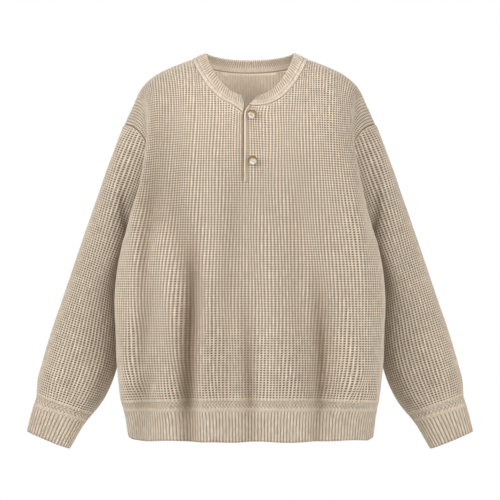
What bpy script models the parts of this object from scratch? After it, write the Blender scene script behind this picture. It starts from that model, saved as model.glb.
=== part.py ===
# A henley sweater in waffle knit, filled out as it is worn, with nobody in it.
#
# Metres, +Z up, the front faces -Y. The origin is level with the two high neck points, midway between
# them, where the wearer's shoulders carry the knit. Right and left below are the viewer's.
#
# Each piece that is cut or knitted by itself is one closed wall. Its outer side is worked out from the
# tables below, and its inner side is the same surface moved in along the normal, so two pieces that
# meet at a seam share one surface and stay one seam gap apart.

import math

import bmesh
import bpy
import numpy as np
from mathutils import Vector


def table(columns, *rows):
    """Named columns from rows of numbers."""
    return {name: np.array([row[k] for row in rows], float) for k, name in enumerate(columns.split())}


# Driving sizes
WALL = 0.0026  # waffle knit
RIB_WALL = 0.0022  # ribbing in the grooves between its ribs
RIB_RISE = 0.0014  # a rib above the groove beside it
SEAM_GAP = 0.0003

UNDERARM_Z = -0.345
WAFFLE_END_Z = -0.6245  # lower edge of the front and back, at the centre
WAFFLE_DROOP = 0.0125  # how much lower that edge hangs at the sides
HEM_BAND = 0.018  # the close-knit band above the ribs
HEM_END_Z = -0.7005
HEM_RIBS = 184
CUFF_RIBS = 40
NECK_RIBS = 128
NECK_STEPS = 8  # columns of the knit in a quarter of the neckline

SIDE_SEAM = 0.54  # of the half loop, from the centre front to the centre back
NECK_HALF = 0.105  # neck seam, from the centre line
FREE_HALF = 0.0795  # the neckband's free edge, from the centre line
PANEL_HALF = 0.285  # a panel's flat half width
NECK_SHARE = NECK_HALF / PANEL_HALF

SLIT_X = -0.0109  # the placket's edge, left of the centre line
SLIT_GAP = 0.0012
SLIT_END_Z = -0.235
SLIT_LIFT = 0.0030  # the right side laps over the left
EDGE_WIDTH = 0.0070  # the plain strip along the placket's edge
EDGE_WALL = 0.0016
UNDER_WIDTH = 0.0260  # the strip behind the placket
BUTTON_R = 0.0085
BUTTON_THICK = 0.0042

# The body's level loops: half width, where it is widest, how far front and back stand off, and how
# full each quarter is (0.55 is an ellipse).
BODY = table(
    "z wide wide_y front back front_full front_side back_side back_full",
    (-0.705, 0.2205, 0.000, -0.100, 0.097, 0.60, 0.52, 0.52, 0.60),
    (-0.645, 0.2250, 0.000, -0.105, 0.101, 0.60, 0.52, 0.52, 0.60),
    (-0.625, 0.2285, -0.002, -0.111, 0.105, 0.60, 0.50, 0.48, 0.60),
    (-0.600, 0.2340, -0.006, -0.117, 0.109, 0.60, 0.50, 0.44, 0.58),
    (-0.560, 0.2395, -0.014, -0.121, 0.112, 0.60, 0.50, 0.38, 0.57),
    (-0.500, 0.2410, -0.026, -0.122, 0.114, 0.60, 0.50, 0.32, 0.56),
    (-0.440, 0.2400, -0.034, -0.121, 0.115, 0.60, 0.50, 0.30, 0.55),
    (-0.390, 0.2340, -0.038, -0.120, 0.116, 0.60, 0.50, 0.30, 0.55),
    (-0.345, 0.2265, -0.040, -0.119, 0.117, 0.60, 0.50, 0.30, 0.55),
)

# The top of the shoulder from the neck seam to the drop-shoulder seam.
SHOULDER = table(
    "x z",
    (0.105, -0.0125),
    (0.143, -0.0270),
    (0.172, -0.0420),
    (0.189, -0.0560),
    (0.203, -0.0745),
    (0.215, -0.1000),
    (0.228, -0.1285),
)

# Half of the armhole seam each, from the underarm up to the end of the shoulder. The first and last
# rows are replaced by the side seam's top and the shoulder's end.
ARMHOLE_FRONT = table(
    "x y z",
    (0.2120, 0.000, -0.345),
    (0.1960, -0.027, -0.314),
    (0.1850, -0.039, -0.255),
    (0.1830, -0.043, -0.205),
    (0.1900, -0.039, -0.158),
    (0.2080, -0.024, -0.137),
    (0.2280, 0.000, -0.1285),
)
ARMHOLE_BACK = table(
    "x y z",
    (0.2120, 0.000, -0.345),
    (0.2050, 0.030, -0.320),
    (0.1990, 0.050, -0.264),
    (0.1990, 0.051, -0.205),
    (0.2090, 0.036, -0.152),
    (0.2280, 0.000, -0.1285),
)

# Sleeve rings from the armhole down: outer and inner points, and half the depth.
SLEEVE = table(
    "out_x out_y out_z in_x in_y in_z half_depth",
    (0.2360, 0.004, -0.1500, 0.2205, 0.027, -0.3555, 0.0500),
    (0.2475, 0.009, -0.1800, 0.2245, 0.029, -0.3690, 0.0550),
    (0.2610, 0.015, -0.2150, 0.2275, 0.031, -0.3840, 0.0570),
    (0.2748, 0.021, -0.2550, 0.2295, 0.034, -0.4000, 0.0580),
    (0.2910, 0.027, -0.3000, 0.2310, 0.036, -0.4180, 0.0570),
    (0.3078, 0.033, -0.3480, 0.2315, 0.039, -0.4400, 0.0560),
    (0.3248, 0.038, -0.3970, 0.2320, 0.041, -0.4640, 0.0550),
    (0.3420, 0.042, -0.4470, 0.2330, 0.043, -0.4900, 0.0530),
    (0.3620, 0.043, -0.5050, 0.2385, 0.043, -0.5502, 0.0500),
    (0.3797, 0.041, -0.5630, 0.2550, 0.041, -0.6050, 0.0450),
    (0.3870, 0.039, -0.5920, 0.2690, 0.039, -0.6320, 0.0410),
    (0.3890, 0.036, -0.6215, 0.2880, 0.036, -0.6570, 0.0365),
)
CUFF = table(
    "out_x out_y out_z in_x in_y in_z half_depth",
    (0.3890, 0.036, -0.6215, 0.2880, 0.036, -0.6570, 0.0355),
    (0.3937, 0.035, -0.6390, 0.2965, 0.035, -0.6680, 0.0325),
    (0.4057, 0.033, -0.6870, 0.3270, 0.033, -0.7190, 0.0310),
)

# Long soft folds. A wale is a column of the knit, named by its distance from the panel's centre; lean
# is how far a fold shifts sideways for each metre of height. A fold fades out above and below.
FRONT_FOLDS = table(
    "wale lean half_width rise from_z to_z",
    (-0.200, 0.10, 0.018, -0.0040, -0.640, -0.420),
    (-0.158, 0.00, 0.016, 0.0050, -0.660, -0.330),
    (-0.122, -0.06, 0.015, -0.0105, -0.720, -0.350),
    (-0.070, 0.02, 0.020, 0.0065, -0.650, -0.300),
    (-0.006, 0.00, 0.012, -0.0070, -0.720, -0.520),
    (0.032, -0.03, 0.018, 0.0075, -0.700, -0.360),
    (0.062, -0.03, 0.010, 0.0030, -0.640, -0.400),
    (0.131, -0.10, 0.018, -0.0095, -0.700, -0.380),
    (0.175, -0.10, 0.016, 0.0050, -0.640, -0.400),
    (0.232, -0.45, 0.014, -0.0050, -0.640, -0.500),
)
BACK_FOLDS = table(
    "wale lean half_width rise from_z to_z",
    (-0.185, 0.05, 0.018, -0.0050, -0.690, -0.450),
    (-0.130, 0.03, 0.020, 0.0060, -0.690, -0.400),
    (-0.078, 0.00, 0.016, -0.0080, -0.715, -0.380),
    (-0.020, 0.00, 0.020, 0.0060, -0.700, -0.420),
    (0.040, 0.00, 0.015, -0.0085, -0.715, -0.360),
    (0.098, -0.02, 0.020, 0.0065, -0.690, -0.340),
    (0.160, -0.06, 0.018, -0.0070, -0.700, -0.430),
)


# Curves
def smooth(low, high, value):
    """0 below low, 1 above high, and an even S between."""
    t = np.clip((value - low) / (high - low), 0, 1)
    return t * t * (3 - 2 * t)


def through(keys, values, at):
    """A smooth curve through values at rising keys."""
    keys, values, at = np.asarray(keys), np.asarray(values), np.asarray(at, float)
    slopes = np.gradient(values, keys, axis=0)
    k = np.clip(np.searchsorted(keys, at, side="right") - 1, 0, len(keys) - 2)
    step = keys[k + 1] - keys[k]
    t = np.clip((at - keys[k]) / step, 0, 1)
    if values.ndim > 1:
        t, step = t[..., None], step[..., None]
    return (
        (1 + 2 * t) * (1 - t) ** 2 * values[k]
        + t * (1 - t) ** 2 * step * slopes[k]
        + t * t * (3 - 2 * t) * values[k + 1]
        - t * t * (1 - t) * step * slopes[k + 1]
    )


def bezier(controls, t):
    """A Bezier curve of any degree; the controls may be arrays of points."""
    last = len(controls) - 1
    return sum(math.comb(last, k) * (1 - t) ** (last - k) * t**k * c for k, c in enumerate(controls))


def evenly(points, at):
    """Points at fractions of a curve's length."""
    length = np.r_[0, np.cumsum(np.linalg.norm(np.diff(points, axis=0), axis=1))]
    return np.stack([np.interp(np.asarray(at) * length[-1], length, c) for c in points.T], axis=-1)


# The body's surface
def half_loop(z, at):
    """The body's level half loop at z, from the centre front (0) to the centre back (1), with the way out."""
    b = {name: through(BODY["z"], column, z) for name, column in BODY.items()}
    t = np.linspace(0, 1, 81)[:, None]
    wide, y = b["wide"], b["wide_y"]
    front = [
        (0, b["front"]),
        (b["front_full"] * wide, b["front"]),
        (wide, y + b["front_side"] * (b["front"] - y)),
        (wide, y),
    ]
    back = [
        (wide, y),
        (wide, y + b["back_side"] * (b["back"] - y)),
        (b["back_full"] * wide, b["back"]),
        (0, b["back"]),
    ]
    points = np.vstack([bezier([np.array(c) for c in q], t) for q in (front, back)])
    points = np.delete(points, len(t), axis=0)
    run = evenly(points, np.clip(at + 0.004, 0, 1)) - evenly(points, np.clip(at - 0.004, 0, 1))
    out = np.column_stack([-run[:, 1], run[:, 0]])
    out /= -np.linalg.norm(out, axis=1, keepdims=True)
    return evenly(points, at), out


def fold_height(panel, s, z):
    """How far the folds stand out at height z."""
    folds = FRONT_FOLDS if panel == "front" else BACK_FOLDS
    total = np.zeros(len(s))
    for wale, lean, half, rise, low, high in zip(*folds.values()):
        across = np.exp(-(((s * PANEL_HALF - wale - lean * (z - low)) / half) ** 2))
        total += rise * across * (1 - smooth(high - 0.6 * (high - low), high, z))
    return total * (1 - 0.65 * smooth(-0.600, -0.665, z))  # the ribs draw the folds flatter


def level(panel, s, z):
    """Points of the front or back at height z, and the level way out. s is 0 at the centre, 1 at the seam."""
    a = np.abs(s)
    at = a * SIDE_SEAM if panel == "front" else 1 - a * (1 - SIDE_SEAM)
    xy, out = half_loop(z, at)
    xy = xy + out * fold_height(panel, s, z)[:, None]
    zeros = np.zeros(len(a))
    return np.column_stack([xy, zeros + z]), np.column_stack([out, zeros])


def neck_seam(angle):
    """The neckline's seam on the front and back, at an angle from the centre front."""
    across, front = np.sin(angle), np.cos(angle) > 0
    dip = np.maximum(1 - np.abs(across) ** 2.6, 0) ** 0.8
    z = SHOULDER["z"][0] - np.where(front, 0.0870, 0.0200) * dip
    seam = np.zeros((len(angle), 3))
    for panel, which in (("front", front), ("back", ~front)):
        s = NECK_SHARE * across[which]
        share = wale_shares(panel, s, z[which])
        seam[which] = bezier(wale_controls(panel, s), share[:, None])
    seam[:, 0] *= np.where(across < 0, -1, 1)
    return seam


def neck_free_edge(angle):
    """The neckband's free edge at an angle from the centre front."""
    across, along = np.sin(angle), np.cos(angle)
    dip = np.maximum(1 - np.abs(across) ** 2.2, 0) ** 0.8
    y = np.where(along > 0, -0.071, -0.042) * along
    return np.column_stack([FREE_HALF * across, y, -np.where(along > 0, 0.0780, 0.0121) * dip])


def neck_normal(angle, edge):
    """The way out of the neckband's surface between its seam (edge 0) and its free edge (1)."""
    ahead, behind = angle + 0.01, angle - 0.01
    across = (neck_seam(ahead) - neck_seam(behind)) * (1 - edge)
    across = across + (neck_free_edge(ahead) - neck_free_edge(behind)) * edge
    n = np.cross(across, neck_free_edge(angle) - neck_seam(angle))
    return n / np.linalg.norm(n, axis=-1, keepdims=True)


def shoulder_curve(share):
    """The shoulder's top line by share of its length, and the way down and in, square to it."""
    xz = np.column_stack([SHOULDER["x"], SHOULDER["z"]])
    line = through(SHOULDER["x"], xz, np.linspace(xz[0, 0], xz[-1, 0], 121))
    at = np.clip(share, 0, 1)
    run = evenly(line, np.clip(at + 0.02, 0, 1)) - evenly(line, np.clip(at - 0.02, 0, 1))
    run /= np.linalg.norm(run, axis=-1, keepdims=True)
    point, zero = evenly(line, at), np.zeros(len(at))
    return np.column_stack([point[:, 0], zero, point[:, 1]]), np.column_stack([run[:, 1], zero, -run[:, 0]])


def armhole_seam(panel, at):
    """The right armhole from the underarm (0) to the end of the shoulder (1)."""
    rows = ARMHOLE_FRONT if panel == "front" else ARMHOLE_BACK
    points = np.column_stack([rows["x"], rows["y"], rows["z"]])
    points[0] = level("front", np.array([1.0]), UNDERARM_Z)[0][0]
    points[-1] = shoulder_curve(np.array([1.0]))[0][0]
    chord = np.r_[0, np.cumsum(np.linalg.norm(np.diff(points, axis=0), axis=1))]
    return evenly(through(chord, points, np.linspace(0, chord[-1], 161)), at)


def wale_controls(panel, s):
    """Bezier controls of the wales above the underarm, on the right-hand side: where each starts, rises
    over the chest, bends at the shoulder, comes level with the top, and crosses the top of the shoulder.
    At the neck they run on to a ridge that the neckline cuts away."""
    a, face = np.abs(s), -1.0 if panel == "front" else 1.0
    ridge, inwards = shoulder_curve((a - NECK_SHARE) / (1 - NECK_SHARE))
    neck = np.clip(1 - a / NECK_SHARE, 0, 1)
    ridge[:, 0] -= NECK_HALF * neck
    ridge[:, 2] += 0.014 * (1 - (1 - neck) ** 2)
    inwards = inwards * (1 - neck)[:, None] + np.array([0, 0, -1]) * neck[:, None]

    start = level(panel, s, UNDERARM_Z)[0]
    rising = start - level(panel, s, UNDERARM_Z - 0.01)[0]
    chest = start + 0.085 * rising / np.linalg.norm(rising, axis=1, keepdims=True)

    stand_off = [0.096, 0.092, 0.088, 0.056] if panel == "front" else [0.112, 0.108, 0.105, 0.074]
    bend = ridge + 0.050 * inwards
    bend[:, 1] += face * np.interp(a, [0, NECK_SHARE, 0.7, 1], stand_off)
    last = ridge.copy()
    last[:, 1] += face * np.interp(a, [0, NECK_SHARE, 0.75, 1], [0.044, 0.042, 0.038, 0.028])
    return [start, chest, bend, last, ridge]


def wale_shares(panel, s, z):
    """How far along its Bezier each wale reaches height z."""
    fine = np.linspace(0, 1, 161)
    paths = bezier([c[None] for c in wale_controls(panel, s)], fine[:, None, None])[..., 2]
    return np.array([np.interp(h, path, fine) for h, path in zip(z, paths.T)])


def neck_trim(panel, s):
    """How far along its Bezier each wale runs: to the neckline, or over the whole shoulder."""
    share = np.ones(len(s))
    neck = np.abs(s) < NECK_SHARE - 1e-6
    angle = np.arcsin(s[neck] / NECK_SHARE)
    seam = neck_seam(angle if panel == "front" else math.pi - angle)
    share[neck] = wale_shares(panel, s[neck], seam[:, 2])
    return share


def body_surface(panel, s, t):
    """The front's or back's points in rows. s runs from -1 at the left edge to 1 at the right one, and t
    from 0 at the hem over 1 at the underarm to 2 at the neck and shoulder."""
    s = np.asarray(s, float)
    a = np.abs(s)
    controls, trim = wale_controls(panel, s), neck_trim(panel, s)
    edge = wale_controls(panel, np.array([1.0]))
    rows = []
    for step in t:
        if step <= 1:
            row = level(panel, s, WAFFLE_END_Z + (UNDERARM_Z - WAFFLE_END_Z) * step)[0]
            row[:, 2] -= WAFFLE_DROOP * a**2 * (1 - step) ** 2
        else:
            to_seam = armhole_seam(panel, np.array([step - 1])) - bezier(edge, step - 1)
            row = bezier(controls, ((step - 1) * trim)[:, None])
            row += smooth(0.70, 1.0, a)[:, None] * to_seam
        row[:, 0] *= np.where(s < 0, -1, 1)
        rows.append(row)
    return np.array(rows)


def body_normals(panel, s, t):
    """The way out at each of body_surface's points; at the hem it is level, and at the neck the band's."""
    h = 0.002
    across = body_surface(panel, s + h, t) - body_surface(panel, s - h, t)
    along = body_surface(panel, s, np.minimum(t + h, 2)) - body_surface(panel, s, np.maximum(t - h, 0))
    n = np.cross(across, along) * (1 if panel == "front" else -1)
    n /= np.linalg.norm(n, axis=-1, keepdims=True)
    angle = np.arcsin(np.clip(s / NECK_SHARE, -1, 1))
    angle = angle if panel == "front" else math.pi - angle
    for row, step in enumerate(t):
        if step < 0.15:
            out = level(panel, s, WAFFLE_END_Z)[1] * np.column_stack([np.where(s < 0, -1, 1), s * 0 + 1, s * 0])
            mix = 1 - step / 0.15
            n[row] = n[row] * (1 - mix) + out * mix
        if step > 1.999:
            neck = np.abs(s) < NECK_SHARE - 1e-6
            n[row] = -shoulder_curve((np.abs(s) - NECK_SHARE) / (1 - NECK_SHARE))[1]
            n[row, :, 0] *= np.where(s < 0, -1, 1)
            n[row][neck] = neck_normal(angle[neck], 0.0)
    return n / np.linalg.norm(n, axis=-1, keepdims=True)


# Sleeves, cuffs and hem
def sleeve_rings(rows, at):
    """Rings of a sleeve or cuff table; at runs round each from the outer point by the front."""
    angle = 2 * math.pi * at
    rings = []
    for out_x, out_y, out_z, in_x, in_y, in_z, depth in zip(*rows.values()):
        outer, inner = np.array([out_x, out_y, out_z]), np.array([in_x, in_y, in_z])
        ring = (outer + inner) / 2 + np.cos(angle)[:, None] * (outer - inner) / 2
        ring[:, 1] -= depth * np.sin(angle)
        rings.append(ring)
    return np.array(rings)


def armhole_ring(at):
    """The whole right armhole, from the shoulder's end down the front and up the back."""
    front, back = at <= 0.5, at > 0.5
    ring = np.zeros((len(at), 3))
    ring[front] = armhole_seam("front", 1 - 2 * at[front])
    ring[back] = armhole_seam("back", 2 * at[back] - 1)
    return ring


def grid_normals(rings):
    """The way out of a tube given by rings, by its neighbours."""
    around = np.roll(rings, -1, axis=1) - np.roll(rings, 1, axis=1)
    n = np.cross(around, np.gradient(rings, axis=0))
    return n / np.linalg.norm(n, axis=-1, keepdims=True)


def ring_normals(ring):
    """The way out of a flat ring, within its own plane."""
    around = np.roll(ring, -1, axis=0) - np.roll(ring, 1, axis=0)
    plane = np.cross(ring[0] - ring.mean(0), ring[len(ring) // 4] - ring.mean(0))
    n = np.cross(around, plane)
    return n / np.linalg.norm(n, axis=-1, keepdims=True)


def hem_ring(at, share, out_by=0.0):
    """The hem at a share of its height from the body's edge (0) down, moved out; at runs once round from
    the centre front by the right."""
    q = np.where(at < 0.5, 2 * at, 2 - 2 * at)
    sign = np.where(at < 0.5, 1, -1)
    base = WAFFLE_END_Z + (HEM_END_Z - WAFFLE_END_Z) * share
    front = q <= SIDE_SEAM
    s = np.where(front, q / SIDE_SEAM, (1 - q) / (1 - SIDE_SEAM)) * sign
    ring = np.zeros((len(at), 3))
    out_by = np.broadcast_to(out_by, len(at))[:, None]
    for panel, which in (("front", front), ("back", ~front)):
        points, out = level(panel, s[which], base)
        ring[which] = points + out * out_by[which]
    ring[:, 2] -= WAFFLE_DROOP * np.abs(s) ** 2 * (1 - share) ** 2
    ring[:, 0] *= sign
    return ring


# Meshes
def finish(name, points, faces, colour):
    """A named object from points and faces, with its faces pointing out and its own material."""
    mesh = bpy.data.meshes.new(name)
    mesh.from_pydata([tuple(p) for p in points], [], faces)
    made = bmesh.new()
    made.from_mesh(mesh)
    bmesh.ops.recalc_face_normals(made, faces=made.faces)
    if made.calc_volume(signed=True) < 0:
        bmesh.ops.reverse_faces(made, faces=made.faces)
    made.to_mesh(mesh)
    made.free()
    mesh.shade_smooth()
    mesh.set_sharp_from_angle(angle=math.radians(50))
    obj = bpy.data.objects.new(name, mesh)
    sweater.objects.link(obj)
    paint(obj, colour)
    return obj


def paint(obj, colour, roughness=0.9):
    material = bpy.data.materials.new(obj.name)
    material.use_nodes = True
    shader = material.node_tree.nodes["Principled BSDF"]
    shader.inputs["Base Color"].default_value = (*colour, 1)
    shader.inputs["Roughness"].default_value = roughness
    obj.data.materials.append(material)


def wall(name, outer, inner, faces, colour):
    """A closed wall from an open surface's points, the same points moved in, and its faces."""
    count = len(outer)
    edges = {(f[k], f[(k + 1) % len(f)]) for f in faces for k in range(len(f))}
    rim = [(b, a, a + count, b + count) for a, b in edges if (b, a) not in edges]
    inside = [tuple(k + count for k in reversed(f)) for f in faces]
    return finish(name, np.vstack([outer, inner]), faces + inside + sorted(rim), colour)


def quads(first, rows, columns, closed=False):
    """Faces of a grid of numbered points."""
    last = columns if closed else columns - 1
    return [
        (first + r * columns + c, first + r * columns + (c + 1) % columns,
         first + (r + 1) * columns + (c + 1) % columns, first + (r + 1) * columns + c)
        for r in range(rows - 1)
        for c in range(last)
    ]


def ring_wall(name, rows, closed, colour):
    """A wall from rows of points that run round its section in turn. Rows may differ in their number of
    points, so ribs stand on the outer rows alone. An open strip gets an end face at each end."""
    def shares(row):
        run = np.linalg.norm(np.diff(np.vstack([row, row[:1]]) if closed else row, axis=0), axis=1)
        return np.cumsum(run) / run.sum()

    first = np.r_[0, np.cumsum([len(r) for r in rows])]
    faces = []
    for k, row in enumerate(rows):
        after = (k + 1) % len(rows)
        n, m = len(row), len(rows[after])
        here, there = shares(row), shares(rows[after])
        i = j = 0
        while i < len(here) or j < len(there):
            a, b = first[k] + i % n, first[after] + j % m
            if j >= len(there) or (i < len(here) and here[i] <= there[j] + 1e-6):
                faces.append((a, first[k] + (i + 1) % n, b))
                i += 1
            else:
                faces.append((a, first[after] + (j + 1) % m, b))
                j += 1
    if not closed:
        faces.append(tuple(int(k) for k in first[:-1]))
        faces.append(tuple(int(first[k + 1] - 1) for k in reversed(range(len(rows)))))
    return finish(name, np.vstack(rows), [tuple(int(k) for k in f) for f in faces], colour)


# The pieces
def neck_columns():
    """Columns across half a panel: evenly turned round the neck, even over the shoulder."""
    neck = np.sin(np.linspace(0, math.pi / 2, NECK_STEPS + 1)) * NECK_SHARE
    return np.r_[neck, np.linspace(NECK_SHARE, 1 - SEAM_GAP / PANEL_HALF, 11)[1:]]


def front_columns():
    """Columns of the front's two sides, which meet at the slit."""
    half, slit = neck_columns(), SLIT_X / PANEL_HALF
    left = np.r_[-half[:0:-1], slit - 0.015, slit]
    return left, np.r_[slit, slit + EDGE_WIDTH / PANEL_HALF, 0.042, half[1:]]


def front_rows():
    """Rows of the front, and which of them is at the placket's end."""
    fine = np.linspace(1, 2, 81)
    z = body_surface("front", np.array([SLIT_X / PANEL_HALF]), fine)[:, 0, 2]
    slit_end = np.interp(SLIT_END_Z, z, fine)
    t = np.r_[np.linspace(0, 1, 10), np.linspace(1, slit_end, 6)[1:], np.linspace(slit_end, 2, 10)[1:]]
    return t, 14


def back_rows():
    return np.r_[np.linspace(0, 1, 9), np.linspace(1, 2, 13)[1:]]


def neck_angles():
    """Where the panels' columns meet the neckline, from the slit's right side round to its left one."""
    left, right = (np.arcsin(np.clip(s[np.abs(s) < NECK_SHARE + 1e-6] / NECK_SHARE, -1, 1)) for s in front_columns())
    return np.r_[right, np.linspace(0.5, 1.5, 2 * NECK_STEPS + 1)[1:-1] * math.pi, left + 2 * math.pi]


def armhole_steps():
    """Where the panels' rows meet the armhole, from the shoulder's end down the front and up the back."""
    front, back = front_rows()[0], back_rows()
    return np.r_[1 - front[front > 1 - 1e-9][::-1] / 2, back[(back > 1 + 1e-9) & (back < 2)] / 2]


def make_back():
    half = neck_columns()
    s = np.r_[-half[:0:-1], half]
    t = back_rows()
    t[-1] = 2 - SEAM_GAP / 0.3
    outer, n = body_surface("back", s, t), body_normals("back", s, t)
    t[-1] = 2
    n[-1] = body_normals("back", s, t)[-1]
    inner = outer - WALL * n
    faces = quads(0, len(t), len(s))
    return wall("body_back", outer.reshape(-1, 3), inner.reshape(-1, 3), faces, KNIT)


def slit_shape(points, n, right):
    """Opens the placket: the right side is lifted and its top corner drawn back, and the left side is
    trimmed and hangs lower beside the neckband."""
    x, z = points[..., 0], points[..., 2]
    points = points.copy()
    if right:
        near = x - SLIT_X
        corner = 0.0084 * np.clip((z + 0.114) / 0.014, 0, 1) ** 1.2
        lift = SLIT_LIFT * smooth(SLIT_END_Z, SLIT_END_Z + 0.022, z) * np.exp(-near / 0.024)
        points += n * lift[..., None]
        points[..., 0] += corner * np.exp(-near / 0.030)
    else:
        above = np.clip((z - SLIT_END_Z) / 0.004, 0, 1)
        points[..., 0] -= SLIT_GAP * above * np.exp(np.minimum(x - SLIT_X, 0) / 0.010)
        near = np.clip((x + 0.035) / (SLIT_X + 0.035), 0, 1) ** 1.3
        drop = 0.0155 * near * smooth(-0.190, -0.101, z) * (1 - smooth(-0.099, -0.079, z))
        points += drop[..., None] * (n * n[..., 2:] - np.array([0, 0, 1]))  # down, along the knit
    return points


def make_front():
    """The front, slit at the placket, and the plain strip laid on its lapping edge."""
    left, right = front_columns()
    t, slit_row = front_rows()
    sides = []
    for s, is_right in ((left, False), (right, True)):
        steps, n = t.copy(), body_normals("front", s, t)
        steps[-1] = 2 - SEAM_GAP / 0.3
        sides.append((slit_shape(body_surface("front", s, steps), n, is_right), n))
    count = len(t) * len(left)
    faces = quads(0, len(t), len(left)) + quads(count, len(t), len(right))
    # up to the slit's end the two sides share the column between them
    shared = {count + r * len(right): r * len(left) + len(left) - 1 for r in range(slit_row + 1)}
    keep = [k for k in range(count + len(t) * len(right)) if k not in shared]
    number = {k: i for i, k in enumerate(keep)}
    faces = [tuple(number[shared.get(k, k)] for k in f) for f in faces]
    outer = np.vstack([points.reshape(-1, 3) for points, _ in sides])[keep]
    inner = np.vstack([(points - WALL * n).reshape(-1, 3) for points, n in sides])[keep]
    wall("body_front", outer, inner, faces, KNIT)

    points, n = (grid[slit_row:, :2] for grid in sides[1])
    low, high = points + n * SEAM_GAP, points + n * (SEAM_GAP + EDGE_WALL)
    strip = quads(0, len(points), 2)
    wall("placket_edge", high.reshape(-1, 3), low.reshape(-1, 3), strip, RIBBING)


def make_sleeve(side, name):
    at = armhole_steps()
    rings = np.concatenate([[armhole_ring(at)], sleeve_rings(SLEEVE, at)])
    start = rings[1] - rings[0]
    start /= np.linalg.norm(start, axis=1, keepdims=True)
    rings[0] += start * SEAM_GAP * 1.5
    n = grid_normals(rings)
    panel_n = armhole_normals(at)
    lean = np.maximum(((n[0] - panel_n) * start).sum(1), 0)
    n[0] -= start * lean[:, None]
    n[-1] = ring_normals(rings[-1])
    flip = np.array([side, 1, 1])
    outer, inner = rings * flip, (rings - WALL * n) * flip
    faces = quads(0, len(rings), len(at), closed=True)
    return wall(name, outer.reshape(-1, 3), inner.reshape(-1, 3), faces, KNIT)


def armhole_normals(at):
    """The panels' own way out along the armhole."""
    n = np.zeros((len(at), 3))
    for k, f in enumerate(at):
        panel, t = ("front", 2 - 2 * f) if f <= 0.5 else ("back", 2 * f)
        n[k] = body_normals(panel, np.array([1.0]), np.array([t]))[0, 0]
    return n


def make_cuff(side, name):
    flip = np.array([side, 1, 1])
    plain, ribbed = np.arange(40) / 40, np.arange(2 * CUFF_RIBS) / (2 * CUFF_RIBS)

    def ring(k, at, out_by, alternate=0.0):
        points = sleeve_rings(CUFF, at)[k]
        n = ring_normals(points)
        rise = out_by + alternate * (np.arange(len(at)) % 2)
        return points + n * rise[:, None] if np.ndim(rise) else points + n * rise

    down = CUFF["out_z"][0] - CUFF["out_z"][1]
    gap = np.array([0, 0, -SEAM_GAP])
    rows = [
        ring(0, plain, 0.0) + gap,
        ring(1, plain, 0.0),
        ring(1, ribbed, 0.0, -RIB_RISE) + gap * 2,
        ring(2, ribbed, 0.0, -RIB_RISE),
        ring(2, plain, -RIB_WALL - RIB_RISE),
        ring(1, plain, -RIB_WALL - RIB_RISE),
        ring(0, plain, -WALL) + gap,
    ]
    return ring_wall(name, [r * flip for r in rows], True, RIBBING)


def make_hem():
    plain, ribbed = np.arange(HEM_RIBS) / HEM_RIBS, np.arange(2 * HEM_RIBS) / (2 * HEM_RIBS)
    band = HEM_BAND / (WAFFLE_END_Z - HEM_END_Z)
    groove = -RIB_RISE * (np.arange(len(ribbed)) % 2)
    gap = np.array([0, 0, -SEAM_GAP])
    deep = -RIB_WALL - RIB_RISE
    rows = [
        hem_ring(plain, 0.0) + gap,
        hem_ring(plain, band),
        hem_ring(ribbed, band + 0.01, groove),
        hem_ring(ribbed, 1.0, groove),
        hem_ring(plain, 1.0, deep),
        hem_ring(plain, band, deep),
        hem_ring(plain, 0.0, -WALL) + gap,
    ]
    return ring_wall("hem", rows, True, RIBBING)


def make_neckband():
    angles = neck_angles()

    def strip(share, edge, depth, ribs=False):
        # from the right end round the back to the left end; the ends slant
        half = NECK_HALF + (FREE_HALF - NECK_HALF) * edge
        tip = 0.009 * math.sin(math.pi * edge) ** 2
        angle = angles[0] + (angles[-1] - angles[0]) * share
        first = math.asin((SLIT_X * (1 - edge) + 0.0107 * edge) / half) - angles[0]
        last = math.asin((SLIT_X * (1 - edge) - 0.0131 * edge + tip) / half) + 2 * math.pi - angles[-1]
        angle = (angle + first * np.maximum(1 - (angle - angles[0]) / 0.9, 0) ** 2
                 + last * np.maximum(1 - (angles[-1] - angle) / 0.9, 0) ** 2)
        points = neck_seam(angle) * (1 - edge) + neck_free_edge(angle) * edge
        n = neck_normal(angle, edge)
        for which, right in ((angle < math.pi / 2, True), (angle > 1.5 * math.pi, False)):
            points[which] = slit_shape(points[which], n[which], right)
        rise = np.full(len(share), 0.0015 * math.sin(math.pi * edge)) + depth
        if ribs:
            rise -= RIB_RISE * (np.arange(len(share)) % 2)
        return points + n * rise[:, None]

    seam = (angles - angles[0]) / (angles[-1] - angles[0])
    plain, ribbed = np.linspace(0, 1, 65), np.linspace(0, 1, 2 * NECK_RIBS + 1)
    gap = SEAM_GAP / 0.026
    rows = [
        strip(seam, gap, 0.0),
        strip(plain, 0.27, 0.0),
        strip(ribbed, 0.30, 0.0, True),
        strip(ribbed, 1.0, 0.0, True),
        strip(plain, 1.0, -RIB_WALL - RIB_RISE),
        strip(plain, 0.30, -RIB_WALL - RIB_RISE),
        strip(seam, gap, -WALL),
    ]
    return ring_wall("neckband", rows, False, RIBBING)


def placket_points(z, across, lifted=True):
    """Points and normals of the front beside the slit, by height and by distance from its edge."""
    fine = np.linspace(1, 2, 81)
    s = (SLIT_X + across) / PANEL_HALF
    sheet, n = body_surface("front", s, fine), body_normals("front", s, fine)
    if lifted:
        sheet = slit_shape(sheet, n, True)
    points, out = np.zeros((len(z), len(s), 3)), np.zeros((len(z), len(s), 3))
    for c in range(len(s)):
        for axis in range(3):
            points[:, c, axis] = np.interp(z, sheet[:, c, 2], sheet[:, c, axis])
            out[:, c, axis] = np.interp(z, sheet[:, c, 2], n[:, c, axis])
    return points, out / np.linalg.norm(out, axis=-1, keepdims=True)


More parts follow.
